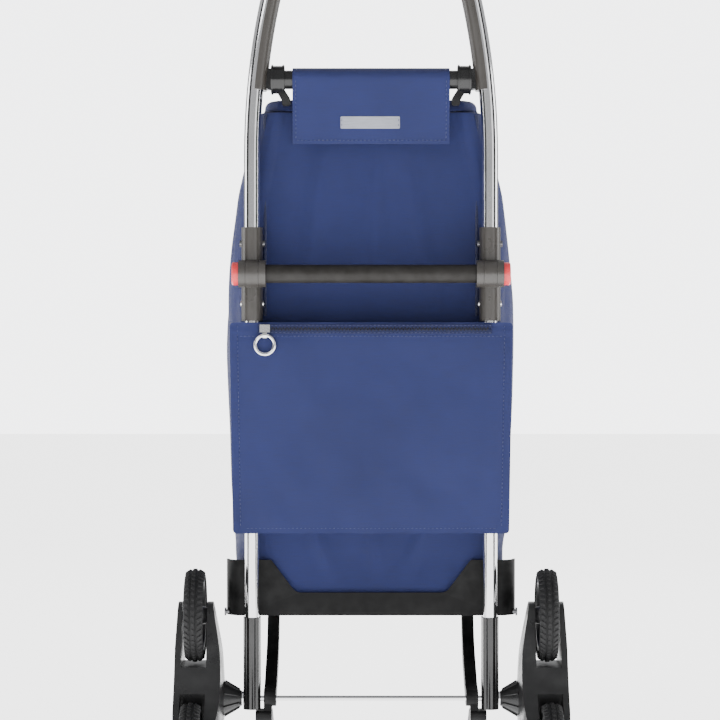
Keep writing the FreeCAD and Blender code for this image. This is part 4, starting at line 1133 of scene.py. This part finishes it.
class TROLLEY_OT_finishes(bpy.types.Operator):
    """Mix the finishes of all pieces"""
    bl_idname = "trolley.finishes"
    bl_label = "Mix the finishes"

    def execute(self, context):
        mix_finishes()
        return {"FINISHED"}


FLOOR_GLOW = 3.0                # light the pale floor gives off itself
ROOM_LIGHT, BACKDROP_LIGHT = 0.58, 4.6   # the world as a light, and as the camera sees it
LAMPS = (                       # name, place, size, watts
    ("key", (-1.9, -2.3, 2.2), 1.3, 21), ("fill", (2.1, -2.0, 1.4), 1.6, 10),
    ("back", (0.5, 2.4, 2.1), 1.6, 20), ("left_strip", (-2.2, 0.2, 0.9), 0.8, 9),
    ("right_strip", (2.2, 0.2, 0.9), 0.8, 9))
CARDS = (("left_card", 205), ("right_card", 335))   # name, and bearing in degrees
CARD_REACH, CARD_HEIGHT = 2.3, 0.9


class TROLLEY_OT_stage(bpy.types.Operator):
    """Set up a pale floor, a bright backdrop, soft lights and the camera"""
    bl_idname = "trolley.stage"
    bl_label = "Set the stage"

    def execute(self, context):
        self.lay_floor()
        self.light_room(context.scene)
        for lamp in LAMPS:
            self.hang_lamp(*lamp)
        for card in CARDS:
            self.stand_card(*card)
        lens = bpy.data.cameras.new("camera")
        lens.lens = 125
        lens.sensor_width = 36
        lens.clip_end = 100
        camera = put("camera", lens)
        camera.location = (-0.013, -3.011, 0.503)
        camera.rotation_euler = (math.radians(90), 0, 0)
        context.scene.camera = camera
        return {"FINISHED"}

    @staticmethod
    def lay_floor():
        tool = bmesh.new()
        bmesh.ops.create_grid(tool, x_segments=1, y_segments=1, size=14)
        floor = put("floor", mesh_of("floor", tool))
        pale = Finish("Pale floor", (0.93, 0.93, 0.93), 0.75)
        pale.tint(pale.noise(0.8), 0.99, 1.01)
        pale.shader.inputs["Emission Color"].default_value = (1.0, 1.0, 1.0, 1.0)
        pale.shader.inputs["Emission Strength"].default_value = FLOOR_GLOW
        floor.data.materials.append(pale.material)

    @staticmethod
    def light_room(scene):
        """Soft light from all round, with a much brighter backdrop behind the trolley."""
        world = bpy.data.worlds.new("Studio")
        world.use_nodes = True
        background = world.node_tree.nodes["Background"]
        background.inputs["Color"].default_value = (0.98, 0.985, 1.0, 1.0)
        seen = world.node_tree.nodes.new("ShaderNodeLightPath").outputs["Is Camera Ray"]
        bright = world.node_tree.nodes.new("ShaderNodeMapRange")
        bright.inputs["To Min"].default_value = ROOM_LIGHT
        bright.inputs["To Max"].default_value = BACKDROP_LIGHT
        world.node_tree.links.new(seen, bright.inputs["Value"])
        world.node_tree.links.new(bright.outputs["Result"], background.inputs["Strength"])
        scene.world = world

    @staticmethod
    def hang_lamp(name, place, size, power):
        light = bpy.data.lights.new(name, "AREA")
        light.energy = power
        light.size = size
        lamp = put(name, light)
        lamp.location = place
        aim = Vector((0, 0, 0.5)) - Vector(place)
        lamp.rotation_euler = aim.to_track_quat("-Z", "Y").to_euler()

    @staticmethod
    def stand_card(name, degrees):
        """A dark card that only reflections show, for dark lines down the tubes."""
        tool = bmesh.new()
        bmesh.ops.create_grid(tool, x_segments=1, y_segments=1, size=0.5)
        turn = math.radians(degrees)
        stand = Matrix.Translation((CARD_REACH * math.cos(turn), CARD_REACH * math.sin(turn),
                                    CARD_HEIGHT))
        face = (Matrix.Rotation(turn + math.pi / 2, 4, "Z")
                @ Matrix.Rotation(math.pi / 2, 4, "X"))
        bmesh.ops.transform(tool, matrix=stand @ face @ Matrix.Diagonal((1.1, 2.6, 1, 1)),
                            verts=tool.verts)
        card = put(name, mesh_of(name, tool))
        card.data.materials.append(Finish("Dark " + name, (0.01, 0.01, 0.01), 0.9).material)
        card.visible_camera = False


STEPS = (TROLLEY_OT_finishes, TROLLEY_OT_bag, TROLLEY_OT_seams, TROLLEY_OT_pocket, TROLLEY_OT_zip,
         TROLLEY_OT_lid, TROLLEY_OT_flap, TROLLEY_OT_tyres, TROLLEY_OT_hardware, TROLLEY_OT_fittings,
         TROLLEY_OT_stage)


class TROLLEY_PT_panel(bpy.types.Panel):
    """Sizes, colours and steps of the trolley"""
    bl_idname = "TROLLEY_PT_panel"
    bl_label = "Folding Shopping Trolley"
    bl_space_type = "VIEW_3D"
    bl_region_type = "UI"
    bl_category = "Trolley"

    def draw(self, context):
        for settings in (context.scene.trolley_sizes, context.scene.trolley_colours):
            box = self.layout.box()
            for name in settings.bl_rna.properties.keys():
                if name not in {"rna_type", "name"}:
                    box.prop(settings, name)
        for step in STEPS:
            self.layout.operator(step.bl_idname)


CLASSES = (TrolleySizes, TrolleyColours) + STEPS + (TROLLEY_PT_panel,)


def register():
    for item in CLASSES:
        bpy.utils.register_class(item)
    bpy.types.Scene.trolley_sizes = PointerProperty(type=TrolleySizes)
    bpy.types.Scene.trolley_colours = PointerProperty(type=TrolleyColours)


def unregister():
    del bpy.types.Scene.trolley_colours
    del bpy.types.Scene.trolley_sizes
    for item in reversed(CLASSES):
        bpy.utils.unregister_class(item)


def main():
    register()
    bpy.ops.trolley.finishes()
    bpy.ops.trolley.bag()
    bpy.ops.trolley.seams()
    bpy.ops.trolley.pocket()
    bpy.ops.trolley.zip()
    bpy.ops.trolley.lid()
    bpy.ops.trolley.flap()
    bpy.ops.trolley.tyres()
    bpy.ops.trolley.hardware()
    bpy.ops.trolley.fittings()
    bpy.ops.trolley.stage()


if __name__ == "__main__":
    main()
